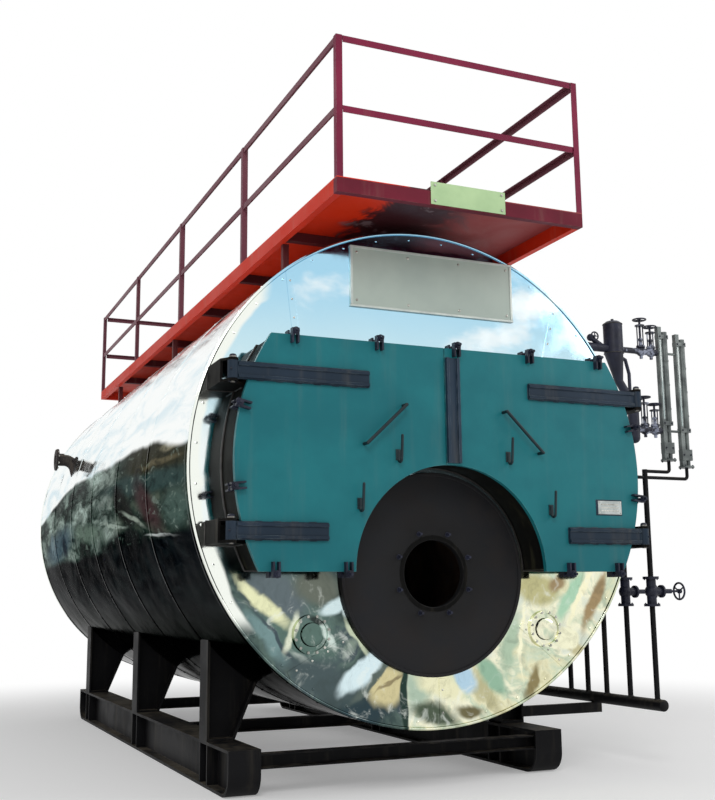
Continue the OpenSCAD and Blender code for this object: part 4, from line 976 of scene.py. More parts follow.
def cord(bm, points, radius, sides=8, ring=False):
    """A round cord through a row of points; ring joins its ends."""
    points = [Vector(p) for p in points]
    count = len(points)
    around = [math.tau * k / sides for k in range(sides)]
    rings = []
    side = None
    for i, here in enumerate(points):
        after = points[(i + 1) % count] if ring or i + 1 < count else here
        before = points[i - 1] if ring or i > 0 else here
        along = (after - before).normalized()
        if side is None:
            side = along.orthogonal().normalized()
        side = (side - side.dot(along) * along).normalized()
        other = along.cross(side)
        rings.append([
            bm.verts.new(here + radius * (math.cos(turn) * side + math.sin(turn) * other))
            for turn in around])
    loft(bm, rings, capped=not ring, looped=ring)


def arc(centre, radius, start, end, y, steps):
    """Points on an upright circle in the drum's frame; angles from +X, in degrees."""
    turns = [math.radians(start + (end - start) * i / steps) for i in range(steps + 1)]
    x, z = centre
    return [drum(x + radius * math.cos(turn), y, z + radius * math.sin(turn)) for turn in turns]


made_pieces = []
same_point = 0.00001
sharp_from = math.radians(40)


def piece(name, build, skin, body="root", bevel=0.0):
    """Build a mesh with a function, give it a finish and let it ride on a body."""
    bm = bmesh.new()
    build(bm)
    bmesh.ops.remove_doubles(bm, verts=bm.verts, dist=same_point)
    bmesh.ops.recalc_face_normals(bm, faces=bm.faces)
    mesh = bpy.data.meshes.new(name)
    bm.to_mesh(mesh)
    bm.free()
    mesh.materials.append(skin)
    mesh.shade_smooth()
    mesh.set_sharp_from_angle(angle=sharp_from)
    made = bpy.data.objects.new(name, mesh)
    scene.collection.objects.link(made)
    if bevel:
        soften = made.modifiers.new("soften", "BEVEL")
        soften.width = bevel
        soften.segments = 2
        soften.harden_normals = True
    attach(made, body)
    made_pieces.append(made)


print("shape helpers ready")

# %% [markdown]
# The polished skin is thin sheet, folded over a ring at the front edge and lapped in
# bands along the drum. The fold is a bright rolled bead, the laps are low bands, and
# both are held by dome-headed screws.

# %% The skin's rolled edges, lap bands and screws
bead_r, bead_steps = 0.011, 160
screw_r, screw_h, screw_inset = 0.009, 0.004, 0.05
band_w, band_h = 0.045, 0.003
band_y = [0.05, 1.18, 2.31, 3.44, 4.57, 5.70, drum_len - 0.05]
shell_screws, plate_screws = 44, 40


def dome(bm, centre, direction, radius=screw_r, height=screw_h):
    """The head of a domed screw or a rivet."""
    lathe(bm, centre, direction, [(radius, 0), (radius * 0.9, height * 0.55),
                                  (radius * 0.5, height * 0.95), (radius * 0.1, height)], 10)


def build_beads(bm):
    for y in (0.0, drum_len):
        round_the_rim = arc((0, 0), drum_r - bead_r * 0.6, 0, 360, y, bead_steps)[:-1]
        cord(bm, round_the_rim, bead_r, 10, ring=True)


def build_bands(bm):
    inner, shoulder, outer = drum_r - 0.004, drum_r + band_h * 0.7, drum_r + band_h
    profile = [(inner, 0), (shoulder, 0), (outer, 0.004),
               (outer, band_w - 0.004), (shoulder, band_w), (inner, band_w)]
    for y in band_y:
        lathe(bm, drum(0, y - band_w / 2, 0), to_rear, profile, 180, closed=False)


def build_shell_screws(bm):
    for y in band_y:
        for x, z in ring_of(shell_screws, 1.0, 0.5):
            out = Vector((x, 0, z))
            dome(bm, drum(0, y, 0) + out * (drum_r + band_h - 0.0005), out)


def build_plate_screws(y, way):
    def build(bm):
        for x, z in ring_of(plate_screws, drum_r - screw_inset, 0.5):
            dome(bm, drum(x, y, z), way)
    return build


piece("skin_beads", build_beads, polished_front)
piece("skin_bands", build_bands, polished_shell)
piece("shell_screws", build_shell_screws, polished_shell)
piece("front_plate_screws", build_plate_screws(-0.0005, to_front), polished_front)
piece("rear_plate_screws", build_plate_screws(drum_len + 0.0005, to_rear), polished_rear)
print(f"{len(made_pieces)} pieces so far")

# %% [markdown]
# A sign panel stands above the doors: a plain flat slab in a raised frame, held by eight
# domed screws.

# %% The plain sign with its frame and screws
sign_low, sign_high = drum(-0.593, 0, 1.16), drum(0.71, 0, 1.59)
sign_mid = (sign_low + sign_high) / 2
sign_w, sign_h = sign_high.x - sign_low.x, sign_high.z - sign_low.z
sign_t, sign_frame_w, sign_screw_inset = 0.012, 0.018, 0.04


def build_sign(bm):
    slab(bm, sign_mid + Vector((0, -sign_t / 2, 0)), (sign_w, sign_t, sign_h))


def build_sign_frame(bm):
    w = sign_frame_w
    for side in (-1, 1):
        slab(bm, sign_mid + Vector((0, -w / 2, side * sign_h / 2)), (sign_w + 0.024, w, w))
        slab(bm, sign_mid + Vector((side * sign_w / 2, -w / 2, 0)), (w, w, sign_h - w - 0.0001))


def build_sign_screws(bm):
    for across in (-1, -0.34, 0.34, 1):
        for up in (-1, 1):
            x = across * (sign_w / 2 - sign_screw_inset)
            z = up * (sign_h / 2 - sign_screw_inset)
            dome(bm, sign_mid + Vector((x, -0.0119, z)), to_front, 0.011, 0.006)


piece("name_sign", build_sign, sign_paint, bevel=0.002)
piece("name_sign_frame", build_sign_frame, sign_frame, bevel=0.003)
piece("name_sign_screws", build_sign_screws, bolt_steel)
print(f"the sign is {sign_w:.2f} by {sign_h:.2f} m")

# %% [markdown]
# Two small plates follow. One rides on the right door, on a backing of its own, with a
# rivet in each corner and three raised strips. The other is green, and is bolted to the
# walkway's front beam.

# %% The data plate on the right door and the plate on the walkway's front beam
door_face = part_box("right_door")[0].y
plate_size, plate_back_size = (0.203, 0.006, 0.096), (0.224, 0.003, 0.112)
plate_strip = (0.15, 0.0012, 0.008)
plate_strip_step = 0.022
plate_mid = drum(1.2745, 0, -0.246)
plate_mid.y = door_face - plate_size[1] / 2


def build_data_plate(bm):
    slab(bm, plate_mid, plate_size)


def build_data_back(bm):
    slab(bm, plate_mid + Vector((-0.006, plate_back_size[1] / 2, 0)), plate_back_size)


def corners(half_wide, half_high):
    """The four corners of a plate, as pairs of distances from its middle."""
    return [(across * half_wide, up * half_high) for across in (-1, 1) for up in (-1, 1)]


def build_data_rivets(bm):
    for x, z in corners(0.09, 0.038):
        dome(bm, plate_mid + Vector((x, -0.0029, z)), to_front, 0.005, 0.003)
    for k in (1, 0, -1):
        slab(bm, plate_mid + Vector((0, -0.0036, plate_strip_step * k)), plate_strip)


piece("data_plate", build_data_plate, data_plate, "right_door_leaf", bevel=0.0015)
piece("data_plate_back", build_data_back, strap_paint, "right_door_leaf", bevel=0.001)
piece("data_plate_rivets", build_data_rivets, bolt_steel, "right_door_leaf")

walk_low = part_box("walkway_frame")[0]
fascia_size = (0.58, 0.006, 0.16)
fascia_mid = drum(0.02, 0, 1.82)
fascia_mid.y = walk_low.y - 0.004


def build_fascia(bm):
    slab(bm, fascia_mid, fascia_size)


def build_fascia_bolts(bm):
    for x, z in corners(0.26, 0.055):
        hexagon(bm, fascia_mid + Vector((x, -0.0029, z)), to_front, 0.017, 0.007)


piece("walkway_plate", build_fascia, fascia_paint, bevel=0.002)
piece("walkway_plate_bolts", build_fascia_bolts, bolt_steel)
print(f"{len(made_pieces)} pieces so far")

# %% [markdown]
# Sheet is never one piece at this size. The front and rear plates are cut into sectors
# with a lap strip over each joint, and a flashing ring closes the skin round each pipe
# that comes through it.

# %% Lap strips and flashing rings
strip_w, strip_t, strip_screw_step = 0.05, 0.003, 0.11
smoke_low, smoke_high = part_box("smokebox")
door_top = smoke_high.z - axis.z
door_bottom = smoke_low.z - axis.z
smoke_r = (smoke_high.x - smoke_low.x) / 2
burner_r = (burner_high.x - burner_low.x) / 2


def strip_between(bm, one, two, face_y, way):
    """A lap strip flat on a plate, between two points (x, z) of the drum's frame."""
    a, b = drum(one[0], face_y, one[1]), drum(two[0], face_y, two[1])
    along = (b - a).normalized()
    turned = Matrix((along, Vector((0, 1, 0)), along.cross(Vector((0, 1, 0))))).transposed().to_4x4()
    slab(bm, (a + b) / 2 + Vector((0, way * strip_t / 2, 0)), ((b - a).length, strip_t, strip_w), turned)


def polar(radius, degrees):
    """A point on a circle, as two distances from its middle."""
    return radius * math.cos(math.radians(degrees)), radius * math.sin(math.radians(degrees))


def on_rim(angle):
    return polar(drum_r - 0.03, angle)


def front_joints():
    low = burner_c.z - axis.z
    yield (0.06, low - burner_r - 0.01), on_rim(-88)
    yield (-0.62, low - 0.42), on_rim(-128)
    yield (0.70, low - 0.36), on_rim(-52)
    yield (-1.0, door_top + 0.03), on_rim(128)
    yield (0.98, door_top + 0.03), on_rim(50)


def rear_joints():
    for angle in (-150, -90, -30, 20):
        x, z = polar(0.45, angle)
        yield (x, z - 0.2), on_rim(angle)


def build_front_strips(bm):
    for one, two in front_joints():
        strip_between(bm, one, two, 0, -1)


def build_rear_strips(bm):
    for one, two in rear_joints():
        strip_between(bm, one, two, drum_len, 1)


def build_strip_screws(bm):
    for joints, y, way in ((front_joints, 0, -1), (rear_joints, drum_len, 1)):
        for one, two in joints():
            a, b = Vector(one), Vector(two)
            count = max(2, int((b - a).length / strip_screw_step))
            for i in range(count):
                spot = a.lerp(b, (i + 0.5) / count)
                dome(bm, drum(spot.x, y + way * (strip_t - 0.0003), spot.y), (0, way, 0), 0.008, 0.004)


steam_low, steam_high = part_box("steam_outlet")
flue_low, flue_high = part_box("flue_outlet")
feed_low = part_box("feed_inlet")[0]
flue_c = Vector(((flue_low.x + flue_high.x) / 2, drum(0, drum_len, 0).y, (flue_low.z + flue_high.z) / 2))
feed_c = drum(-1.25, drum_len, 0.45)
steam_c = Vector(((steam_low.x + steam_high.x) / 2, (steam_low.y + steam_high.y) / 2, axis.z))
flue_pipe_r, feed_pipe_r, steam_pipe_r = 0.346, 0.06985, 0.1095


def build_flashing(bm):
    for centre, r in ((flue_c, flue_pipe_r), (feed_c, feed_pipe_r)):
        profile = [(r + 0.001, 0), (r + 0.05, 0), (r + 0.05, 0.003), (r + 0.012, 0.004), (r + 0.001, 0.016)]
        lathe(bm, centre, to_rear, profile, 64, closed=False)


def build_saddle(bm):
    """A ring that follows the drum's curve round the upright steam pipe."""
    r, rise = steam_pipe_r, 0.004
    rings = []
    for radius, up in ((r + 0.001, 0.018), (r + 0.014, rise), (r + 0.06, rise), (r + 0.06, -0.004)):
        rings.append([
            bm.verts.new(steam_c + Vector((x, y, math.sqrt(drum_r ** 2 - x ** 2) + up)))
            for x, y in ring_of(64, radius)])
    loft(bm, rings, capped=False)


piece("front_lap_strips", build_front_strips, polished_front, bevel=0.001)
piece("rear_lap_strips", build_rear_strips, polished_rear, bevel=0.001)
piece("lap_strip_screws", build_strip_screws, bolt_steel)
piece("rear_flashing", build_flashing, bolt_steel)
piece("steam_flashing", build_saddle, bolt_steel)
print(f"{len(made_pieces)} pieces so far")

# %% [markdown]
# The doors shut on a rope gasket that lies on the smokebox's seat, and the smokebox is
# welded to the front of the boiler all round. Both follow the doors' outline, which is
# a circle with a flat top and bottom and a round bite over the burner plate. One
# function walks round that outline at any inset.

# %% The doors' outline, gasket and weld
bite_r = 0.72
bite_z = burner_c.z - axis.z
wall_inset = 0.02


def door_outline(inset, y, step=0.04):
    """Points round the doors' outline, moved in by an inset, at a depth y."""
    r = smoke_r + wall_inset - inset
    top = door_top + wall_inset - inset
    low = door_bottom - wall_inset + inset
    bite = bite_r + inset
    points = []

    def walk(centre_z, radius, start, end):
        count = max(2, int(abs(end - start) * radius / step))
        for i in range(count + 1):
            angle = start + (end - start) * i / count
            points.append(drum(radius * math.cos(angle), y, centre_z + radius * math.sin(angle)))

    def straight(one, two):
        count = max(2, int((Vector(two) - Vector(one)).length / step))
        for i in range(1, count):
            spot = Vector(one).lerp(Vector(two), i / count)
            points.append(drum(spot.x, y, spot.y))

    high_angle, low_angle = math.asin(top / r), math.asin(low / r)
    bite_angle = math.asin((low - bite_z) / bite)
    walk(0, r, high_angle, low_angle)
    straight((r * math.cos(low_angle), low), (bite * math.cos(bite_angle), low))
    walk(bite_z, bite, bite_angle, math.pi - bite_angle)
    straight((-bite * math.cos(bite_angle), low), (-r * math.cos(low_angle), low))
    walk(0, r, math.pi - low_angle, math.pi - high_angle)
    straight((-r * math.cos(high_angle), top), (r * math.cos(high_angle), top))
    return points


def rough_bead(bm, points, radius, sides=6, ring=False, wobble=0.18):
    """A weld: a cord whose points stray a little, as a hand-laid bead does."""
    stray = [Vector([rng.uniform(-1, 1) for _ in range(3)]) for _ in points]
    cord(bm, [p + s * radius * wobble for p, s in zip(points, stray)], radius, sides, ring)


def build_door_gasket(bm):
    cord(bm, door_outline(0.055, seat_y - 0.0028, 0.06), 0.0026, 8, ring=True)


def build_smokebox_weld(bm):
    rough_bead(bm, door_outline(0.014, -0.003), 0.007, 6, ring=True)


seat_y = smoke_low.y - axis.y
piece("door_gasket", build_door_gasket, gasket_cord)
piece("smokebox_weld", build_smokebox_weld, weld_steel)
print(f"the outline has {len(door_outline(0.0, 0.0))} points")

# %% [markdown]
# Nuts ring the two small covers, and a low dome makes each cover's lid. The burner plate
# has a rim, a gasket round its opening and a ring of studs with washers and nuts.

# %% Handhole nuts and the burner plate's studs, nuts and rim
hand_low, hand_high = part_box("handhole_covers")
hand_r = (hand_high.z - hand_low.z) / 2
hand_z = (hand_low.z + hand_high.z) / 2
hand_spots = [Vector((x, hand_low.y, hand_z)) for x in (hand_low.x + hand_r, hand_high.x - hand_r)]
hand_nuts, stud_ring, stud_count = 12, 0.29, 8
seated = Vector((0, 0.0005, 0))


def build_hand_nuts(bm):
    for centre in hand_spots:
        for x, z in ring_of(hand_nuts, 1.0, 0.5):
            hexagon(bm, centre + Vector((x, 0, z)) * (hand_r - 0.011), to_front, 0.019, 0.009)


def build_hand_domes(bm):
    profile = [(0.078, 0), (0.074, 0.006), (0.06, 0.010), (0.035, 0.0125), (0.012, 0.0130)]
    for centre in hand_spots:
        lathe(bm, centre + seated, to_front, profile, 40)


def build_burner_studs(bm):
    washer = [(0.019, 0), (0.019, 0.003), (0.017, 0.0036)]
    for x, z in ring_of(stud_count, stud_ring, 0.5):
        spot = burner_c + Vector((x, 0, z))
        rod(bm, spot + Vector((0, 0.045, 0)), spot + Vector((0, -0.042, 0)), 0.0098, 12)
        hexagon(bm, spot, to_front, 0.03, 0.016)
        lathe(bm, spot + seated, to_front, washer, 16)


def build_burner_rim(bm):
    outer, inner = burner_r - 0.001, burner_r - 0.024
    profile = [(outer, 0), (outer, 0.008), (burner_r - 0.004, 0.011),
               (burner_r - 0.020, 0.011), (inner, 0.007), (inner, 0)]
    lathe(bm, burner_c + seated, to_front, profile, 120, closed=False)


def build_burner_gasket(bm):
    profile = [(0.234, 0), (0.262, 0), (0.262, 0.004), (0.234, 0.004)]
    lathe(bm, burner_c, to_front, profile, 72, closed=False)


piece("handhole_nuts", build_hand_nuts, bolt_steel)
piece("handhole_domes", build_hand_domes, polished_front)
piece("burner_studs", build_burner_studs, dark_fittings)
piece("burner_rim", build_burner_rim, burner_plate_paint)
piece("burner_gasket", build_burner_gasket, bracket_paint)
print(f"{len(made_pieces)} pieces so far")

# %% [markdown]
# The doors are heavy plate, and a welder's work shows on them: stitch welds along the
# straps, full beads where the bracket channels meet the boiler, caps on the hinge pins.

# %% Welds and caps of the straps, brackets and hinges
# In these tables the upper strap is 1 and the lower one -1.
strap_z = {1: 0.56, -1: -0.45}
strap_in = {1: 0.62, -1: 0.915}
strap_half, strap_out = 0.115 / 2, 1.44
stitch_counts = {1: 6, -1: 4}
hinge_x, hinge_y = 1.56, -0.346
bracket_end, bracket_half = 1.625, 0.0765
door_front_y = door_face - axis.y


def build_strap_stitches(side):
    """Short welds along both edges of each strap, and one across its inner end."""
    def stitch(bm, spots):
        rough_bead(bm, [drum(side * x, door_front_y - 0.001, z) for x, z in spots], 0.0035, wobble=0.10)

    def build(bm):
        for which, count in stitch_counts.items():
            start, end = strap_in[which] + 0.04, strap_out
            for k in range(count):
                x = start + (end - start) * (k + 0.5) / count
                for edge in (-1, 1):
                    z = strap_z[which] + edge * (strap_half + 0.001)
                    stitch(bm, [(x + 0.012 * j, z) for j in range(-2, 3)])
            inner = strap_in[which] - 0.001
            stitch(bm, [(inner, strap_z[which] + 0.012 * j) for j in range(-4, 5)])
    return build


def build_pin_caps(bm):
    for side in (-1, 1):
        for which in (1, -1):
            top = drum(side * hinge_x, hinge_y, strap_z[which] + 0.0855)
            lathe(bm, top, upward, [(0.023, 0), (0.023, 0.006), (0.018, 0.013), (0.008, 0.016)], 24)
            inner, outer = Vector((-0.022 * side, 0, -0.165)), Vector((0.030 * side, -0.012, -0.165))
            rod(bm, top + inner, top + outer, 0.003, 8)


def build_grease_nipples(side):
    def build(bm):
        profile = [(0.006, 0), (0.006, 0.006), (0.0035, 0.007), (0.0045, 0.013), (0.002, 0.016)]
        for which in (1, -1):
            spot = drum(side * (hinge_x + 0.018), hinge_y - 0.0280, strap_z[which])
            lathe(bm, spot, Vector((side * 0.53, -0.85, 0)), profile, 10)
    return build


def build_bracket_welds(bm):
    for side in (-1, 1):
        for which in (1, -1):
            for edge in (-1, 1):
                z = strap_z[which] + edge * bracket_half
                at_wall = math.sqrt(smoke_r ** 2 - z ** 2)
                flat = [side * (at_wall + (bracket_end - at_wall) * j / 12) for j in range(13)]
                rough_bead(bm, [drum(x, -0.002, z) for x in flat], 0.006)
                x = side * (at_wall + 0.002)
                rough_bead(bm, [drum(x, -0.02 - 0.014 * j, z) for j in range(12)], 0.006)
            upright = [strap_z[which] + 0.0125 * j for j in range(-6, 7)]
            rough_bead(bm, [drum(side * (bracket_end + 0.004), -0.002, z) for z in upright], 0.005)


for side, name in ((-1, "left"), (1, "right")):
    leaf = f"{name}_door_leaf"
    piece(f"{name}_strap_welds", build_strap_stitches(side), strap_paint, leaf)
    piece(f"{name}_grease_nipples", build_grease_nipples(side), dark_fittings, leaf)
piece("hinge_pin_caps", build_pin_caps, dark_fittings)
piece("bracket_welds", build_bracket_welds, weld_steel)
print(f"{len(made_pieces)} pieces so far")

# %% [markdown]
# Behind the doors every fire tube is expanded and seal-welded into the tube plate, and the
# doors carry a cast lining held by anchors. The tubes stand in rows, every second row
# half a pitch aside, wherever one fits inside the doors' seat and clear of the furnace.

# %% Tube mouths and lining anchors
tubes_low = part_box("fire_tubes")[0]
tube_r, tube_pitch = 0.0445, 0.165
tube_face_y = tubes_low.y - axis.y + 0.008
seat_clear = 0.1345


def inside_doors(x, z, gap):
    """Whether a point of the front lies inside the doors' seat and off the burner's bite."""
    return (math.hypot(x, z) < smoke_r - gap and door_bottom + gap < z < door_top - gap
            and math.hypot(x, z - bite_z) > bite_r + wall_inset + gap)


def tube_places():
    for row in range(-10, 11):
        for col in range(-10, 11):
            x = (col + (0.5 if row % 2 else 0)) * tube_pitch
            z = row * tube_pitch * math.sqrt(3) / 2
            if inside_doors(x, z, seat_clear):
                yield x, z


def build_tube_welds(bm):
    profile = [(tube_r + 0.0005, 0), (tube_r + 0.007, 0), (tube_r + 0.004, 0.004), (tube_r + 0.0005, 0.006)]
    for x, z in tube_places():
        lathe(bm, drum(x, tube_face_y, z), to_front, profile, 20, closed=False)


def build_anchors(side):
    def build(bm):
        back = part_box("left_door_lining")[1].y - axis.y
        profile = [(0.024, 0), (0.024, 0.002), (0.012, 0.0035), (0.005, 0.006)]
        for row in range(-2, 3):
            for col in range(4):
                x, z = side * (0.26 + 0.34 * col), 0.02 + 0.27 * row
                if inside_doors(x, z, 0.22):
                    lathe(bm, drum(x, back - 0.0005, z), to_rear, profile, 16)
    return build


piece("tube_mouth_welds", build_tube_welds, weld_steel)
for side, name in ((-1, "left"), (1, "right")):
    piece(f"{name}_lining_anchors", build_anchors(side), pin_steel, f"{name}_door_leaf")
print(f"{sum(1 for _ in tube_places())} tube mouths")

# %% [markdown]
# The walkway's deck has raised treads, and its posts and legs are welded where they stand.

# %% Deck treads, post feet and the walkway legs' welds
deck_low, deck_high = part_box("walkway_deck")
post_low, post_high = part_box("rail_posts")
deck_mid = (deck_low + deck_high) / 2
angle_w, angle_t, post_bays = 0.046, 0.006, 4
leg_low, leg_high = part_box("walkway_legs")
leg_x = (leg_high.x - leg_low.x - angle_w) / 2
leg_ys = [0.55, 3.85, 6.55]
tread_step, tread_long, tread_wide, tread_high = 0.104, 0.026, 0.007, 0.002
bare_round_pipe = 0.24


def build_treads(bm):
    across_count = int((deck_high.x - deck_low.x) / tread_step)
    along_count = int((deck_high.y - deck_low.y) / tread_step)
    for i in range(across_count):
        for j in range(along_count):
            x = deck_mid.x + (i - (across_count - 1) / 2) * tread_step
            y = deck_mid.y + (j - (along_count - 1) / 2) * tread_step
            if math.hypot(x - steam_c.x, y - steam_c.y) < bare_round_pipe:
                continue
            turned = math.radians(45 if (i + j) % 2 else -45)
            along = Vector((math.cos(turned), math.sin(turned), 0))
            beside = Vector((-along.y, along.x, 0))
            here = Vector((x, y, deck_high.z - 0.0003))
            tips = along * tread_long, beside * tread_wide, -along * tread_long, -beside * tread_wide
            a, b, c, d = [bm.verts.new(here + tip) for tip in tips]
            rise = Vector((0, 0, tread_high))
            e, f = [bm.verts.new(here + along * tread_long * k + rise) for k in (0.45, -0.45)]
            for face in ((a, b, e), (b, f, e), (b, c, f), (c, d, f), (d, e, f), (d, a, e), (d, c, b, a)):
                bm.faces.new(face)


def build_post_welds(bm):
    near = (angle_t, angle_t)
    for side in (-1, 1):
        x = post_high.x if side > 0 else post_low.x
        for i in range(post_bays + 1):
            y = post_low.y + (post_high.y - post_low.y) * i / post_bays
            corner = Vector((x, y, deck_high.z + 0.001))
            into_y = 1 if i <= post_bays / 2 else -1
            for start, end in (((angle_t, angle_w), near), (near, (angle_w, angle_t))):
                row = [Vector(start).lerp(Vector(end), k / 6) for k in range(7)]
                rough_bead(bm, [corner + Vector((-side * u, into_y * v, 0)) for u, v in row], 0.004)


def build_leg_welds(bm):
    half = angle_w / 2
    square = [(-half, -half), (half, -half), (half, half), (-half, half)]
    for side in (-1, 1):
        for y in leg_ys:
            points = []
            for k in range(4):
                a, b = Vector(square[k]), Vector(square[(k + 1) % 4])
                for m in range(5):
                    spot = a.lerp(b, m / 5)
                    x = side * leg_x + spot.x
                    points.append(drum(x, y + spot.y, math.sqrt(drum_r ** 2 - x * x) + 0.002))
            rough_bead(bm, points, 0.005, ring=True)


piece("deck_treads", build_treads, deck_paint)
piece("post_foot_welds", build_post_welds, rail_maroon)
piece("walkway_leg_welds", build_leg_welds, weld_steel)
print(f"{len(made_pieces)} pieces so far")

# %% [markdown]
# The water gauges are two flat bars with a glass tube behind a sight strip each. Rings
# clip the tube, small bolts hold the end blocks, and ticks mark the level.

# %% Dress the water gauges
gauges_low, gauges_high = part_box("water_gauges")
gauge_spots = [(2.275, 0.195), (2.452, 0.145)]
fit_y = 0.20
gauge_half, gauge_bar, gauge_tube_r, gauge_len = 0.050, 0.036, 0.027, 1.110
gauge_foot_ring, gauge_ticks = 0.049, 14
water_low, water_high, sight_high = 0.34, 0.66, 1.0


def build_sight(low, high):
    def build(bm):
        for x, z in gauge_spots:
            spot = drum(x - gauge_half + gauge_bar / 2, fit_y - 0.0205, z + (low + high) / 2)
            slab(bm, spot, (0.013, 0.003, high - low))
    return build


def build_ticks(bm):
    for x, z in gauge_spots:
        for k in range(gauge_ticks):
            wide = 0.010 if k % 2 else 0.006
            spot = drum(x - gauge_half + 0.0305, fit_y - 0.0206, z + 0.37 + 0.045 * k)
            slab(bm, spot, (wide, 0.0024, 0.003))


def build_gauge_rings(bm):
    inner, outer = gauge_tube_r - 0.001, gauge_tube_r + 0.0025
    profile = [(inner, 0), (outer, 0), (outer, 0.014), (inner, 0.014)]
    for x, z in gauge_spots:
        for up in (0.42, 0.62, 0.82):
            lathe(bm, drum(x + gauge_half - gauge_tube_r, fit_y, z + up), upward, profile, 28, closed=False)


def build_gauge_bolts(bm):
    for x, z in gauge_spots:
        for low, high in ((0.060, 0.150), (0.290, 0.324), (gauge_len - 0.1, gauge_len - 0.066)):
            for aside in (-0.034, 0.034):
                spot = drum(x + aside, fit_y - 0.0238, z + (low + high) / 2)
                hexagon(bm, spot, to_front, 0.013, 0.006)
        for u, v in ring_of(4, gauge_foot_ring, 0.5):
            hexagon(bm, drum(x + u, fit_y + v, z + 0.0138), upward, 0.013, 0.007)
            hexagon(bm, drum(x + u, fit_y + v, z + 0.0002), (0, 0, -1), 0.013, 0.007)


piece("gauge_sight_strips", build_sight(water_high, sight_high), gauge_glass)
piece("gauge_water_strips", build_sight(water_low, water_high), gauge_water)
piece("gauge_ticks", build_ticks, dark_fittings)
piece("gauge_rings", build_gauge_rings, gauge_steel)
piece("gauge_bolts", build_gauge_bolts, dark_fittings)
print(f"two gauges, {gauges_high.z - gauges_low.z:.2f} m from the lower foot to the higher top")

# %% [markdown]
# The valves are bolted together. Nuts ring each bonnet, the drain valves' flanges are
# bolted to their pipes, and a weld closes each pipe where it meets the header or column.

# %% Valve bolts and pipe welds
valve_places = [(x, z) for z in (1.085, 0.440) for x in (2.060, 2.160)]
valve_r, bonnet_ring = 0.040, 0.0285
drain_flange_ring, drain_bonnet_ring = 0.049, 0.041
drain_x, drain_valve_z = 2.030, -0.840
drain_valve_ys, drain_ys = (0.20, 0.53), (0.20, 0.53, 0.84, 1.10, 1.35)
header_z, header_r, pipe_r = -1.700, 0.0445, 0.021
column_x, column_r, column_welds = 1.790, 0.0775, (1.045, 1.285)
steam_flange_z, flange_back = 2.150, 0.026


def build_bonnet_nuts(bm):
    for x, z in valve_places:
        for u, v in ring_of(6, bonnet_ring, 0.5):
            hexagon(bm, drum(x + u, fit_y + v, z + valve_r * 0.75 + 0.0158), upward, 0.008, 0.005)


def build_drain_bolts(bm):
    for y in drain_valve_ys:
        for side in (-1, 1):
            for u, v in ring_of(4, drain_flange_ring, 0.5):
                spot = drum(drain_x + u, y + v, drain_valve_z + side * 0.0952)
                hexagon(bm, spot, (0, 0, -side), 0.011, 0.006)
        for u, v in ring_of(6, drain_bonnet_ring):
            hexagon(bm, drum(drain_x + 0.1028, y + u, drain_valve_z + v), to_right, 0.010, 0.006)


def ring_bead(bm, centre, direction, radius, thick):
    """A weld bead round a pipe."""
    shape = Matrix.Translation(centre) @ facing(direction)
    count = max(16, int(math.tau * radius / 0.012))
    rough_bead(bm, [shape @ Vector((x, y, 0)) for x, y in ring_of(count, radius)], thick, ring=True)


def build_pipe_welds(bm):
    for y in drain_ys:
        ring_bead(bm, drum(drain_x, y, header_z + header_r - 0.002), upward, pipe_r + 0.002, 0.004)
    for z in column_welds:
        ring_bead(bm, drum(column_x, fit_y, z), upward, column_r, 0.0035)
    steam_end = steam_c + Vector((0, 0, steam_flange_z - flange_back))
    ring_bead(bm, steam_end, upward, steam_pipe_r + 0.002, 0.006)
    flue_end = flue_c + Vector((0, flue_high.y - flue_c.y - 0.015, 0))
    feed_end = Vector((feed_low.x + 0.025, feed_c.y + 0.28, axis.z + 0.87))
    ring_bead(bm, flue_end, to_rear, flue_pipe_r + 0.002, 0.006)
    ring_bead(bm, feed_end, to_right, feed_pipe_r + 0.002, 0.005)


piece("bonnet_nuts", build_bonnet_nuts, dark_fittings)
piece("drain_valve_bolts", build_drain_bolts, dark_fittings)
piece("pipe_welds", build_pipe_welds, weld_steel)
print(f"{len(made_pieces)} pieces so far")

# %% [markdown]
# A flanged elbow rises from the shell near the rear, where the feed water enters. It is a
# swept pipe: level from its flange, round a bend, then down through the skin.

# %% The feed elbow on the shell
elbow_y, elbow_z, elbow_r = 5.0, 0.600, 0.060
elbow_face_x, elbow_bend_x, elbow_bend = -1.870, -1.775, 0.12
elbow_flange_r, elbow_flange_t, elbow_bolt_ring = 0.112, 0.022, 0.092


def build_elbow(bm):
    path = [drum(elbow_face_x + 0.012, elbow_y, elbow_z), drum(elbow_bend_x, elbow_y, elbow_z)]
    for k in range(1, 11):
        x, z = polar(elbow_bend, 90 - 7.5 * k)
        path.append(drum(elbow_bend_x + x, elbow_y, elbow_z - elbow_bend + z))
    path.append(drum(-1.632, elbow_y, 0.41))
    cord(bm, path, elbow_r, 32)


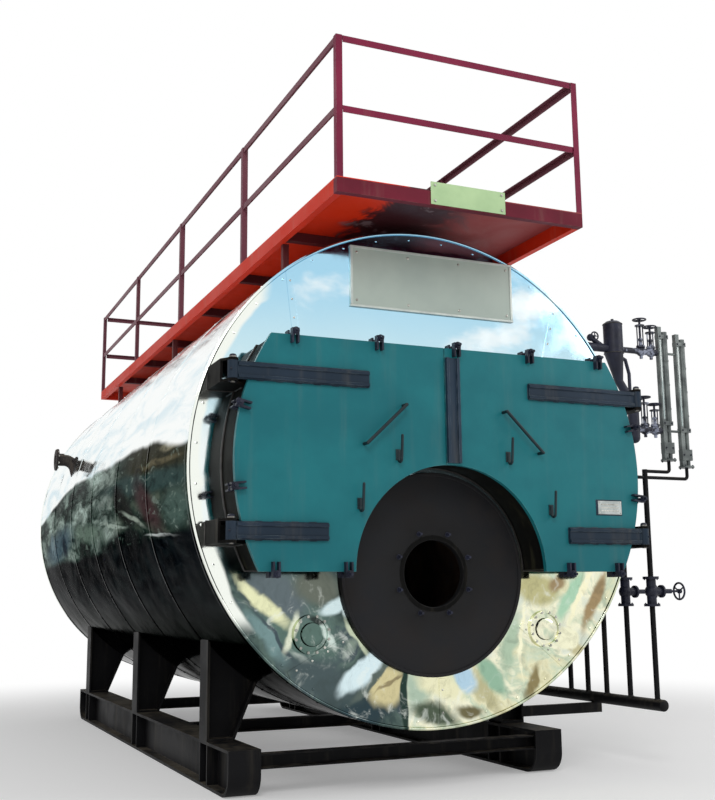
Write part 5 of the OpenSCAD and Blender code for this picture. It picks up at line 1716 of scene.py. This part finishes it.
def build_elbow_flange(bm):
    outer, rim, face = elbow_flange_r, elbow_flange_r - 0.002, elbow_flange_t - 0.002
    lathe(bm, drum(elbow_face_x + elbow_flange_t, elbow_y, elbow_z), (-1, 0, 0), [
        (elbow_r - 0.002, 0), (rim, 0), (outer, 0.002), (outer, elbow_flange_t - 0.004), (rim, face),
        (0.080, face), (0.080, elbow_flange_t), (0.052, elbow_flange_t), (0.052, 0.011), (0.001, 0.011)],
        48, closed=False)


def build_elbow_bolts(bm):
    for u, v in ring_of(8, elbow_bolt_ring, 0.5):
        spot = drum(elbow_face_x + elbow_flange_t - 0.0002, elbow_y + u, elbow_z + v)
        hexagon(bm, spot, to_right, 0.020, 0.010)


def build_elbow_vent(bm):
    """A small vent pipe with a plug, bent towards the front."""
    end = drum(-1.68, elbow_y - 0.20, 0.602)
    cord(bm, [drum(-1.70, elbow_y - 0.03, 0.590), drum(-1.69, elbow_y - 0.12, 0.596), end], 0.013, 16)
    hexagon(bm, end, to_front, 0.030, 0.018)


def build_elbow_weld(bm):
    behind_flange = drum(elbow_face_x + elbow_flange_t + 0.002, elbow_y, elbow_z)
    ring_bead(bm, behind_flange, to_right, elbow_r + 0.001, 0.005)
    points = []
    for k in range(40):
        angle = math.tau * k / 40
        y = elbow_y + (elbow_r + 0.003) * math.cos(angle)
        z = 0.530 + 0.089 * math.sin(angle)
        points.append(drum(-math.sqrt((drum_r + 0.002) ** 2 - z * z), y, z))
    rough_bead(bm, points, 0.006, ring=True)


piece("feed_elbow", build_elbow, outlet_primer)
piece("feed_elbow_flange", build_elbow_flange, outlet_primer, bevel=0.001)
piece("feed_elbow_bolts", build_elbow_bolts, bolt_steel)
piece("feed_elbow_vent", build_elbow_vent, outlet_primer)
piece("feed_elbow_weld", build_elbow_weld, weld_steel)
print(f"{len(made_pieces)} pieces in all")

# %% [markdown]
# The last cell measures the dressed boiler against the bare solids and prints how much
# larger its box is.

# %% Measure the dressed boiler
dressed_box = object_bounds()
growth = [
    (dressed_box[1][i] - dressed_box[0][i]) - (cad_box[1][i] - cad_box[0][i]) for i in range(3)
]
print("the dressed box is larger by", [round(1000 * g, 1) for g in growth], "mm")
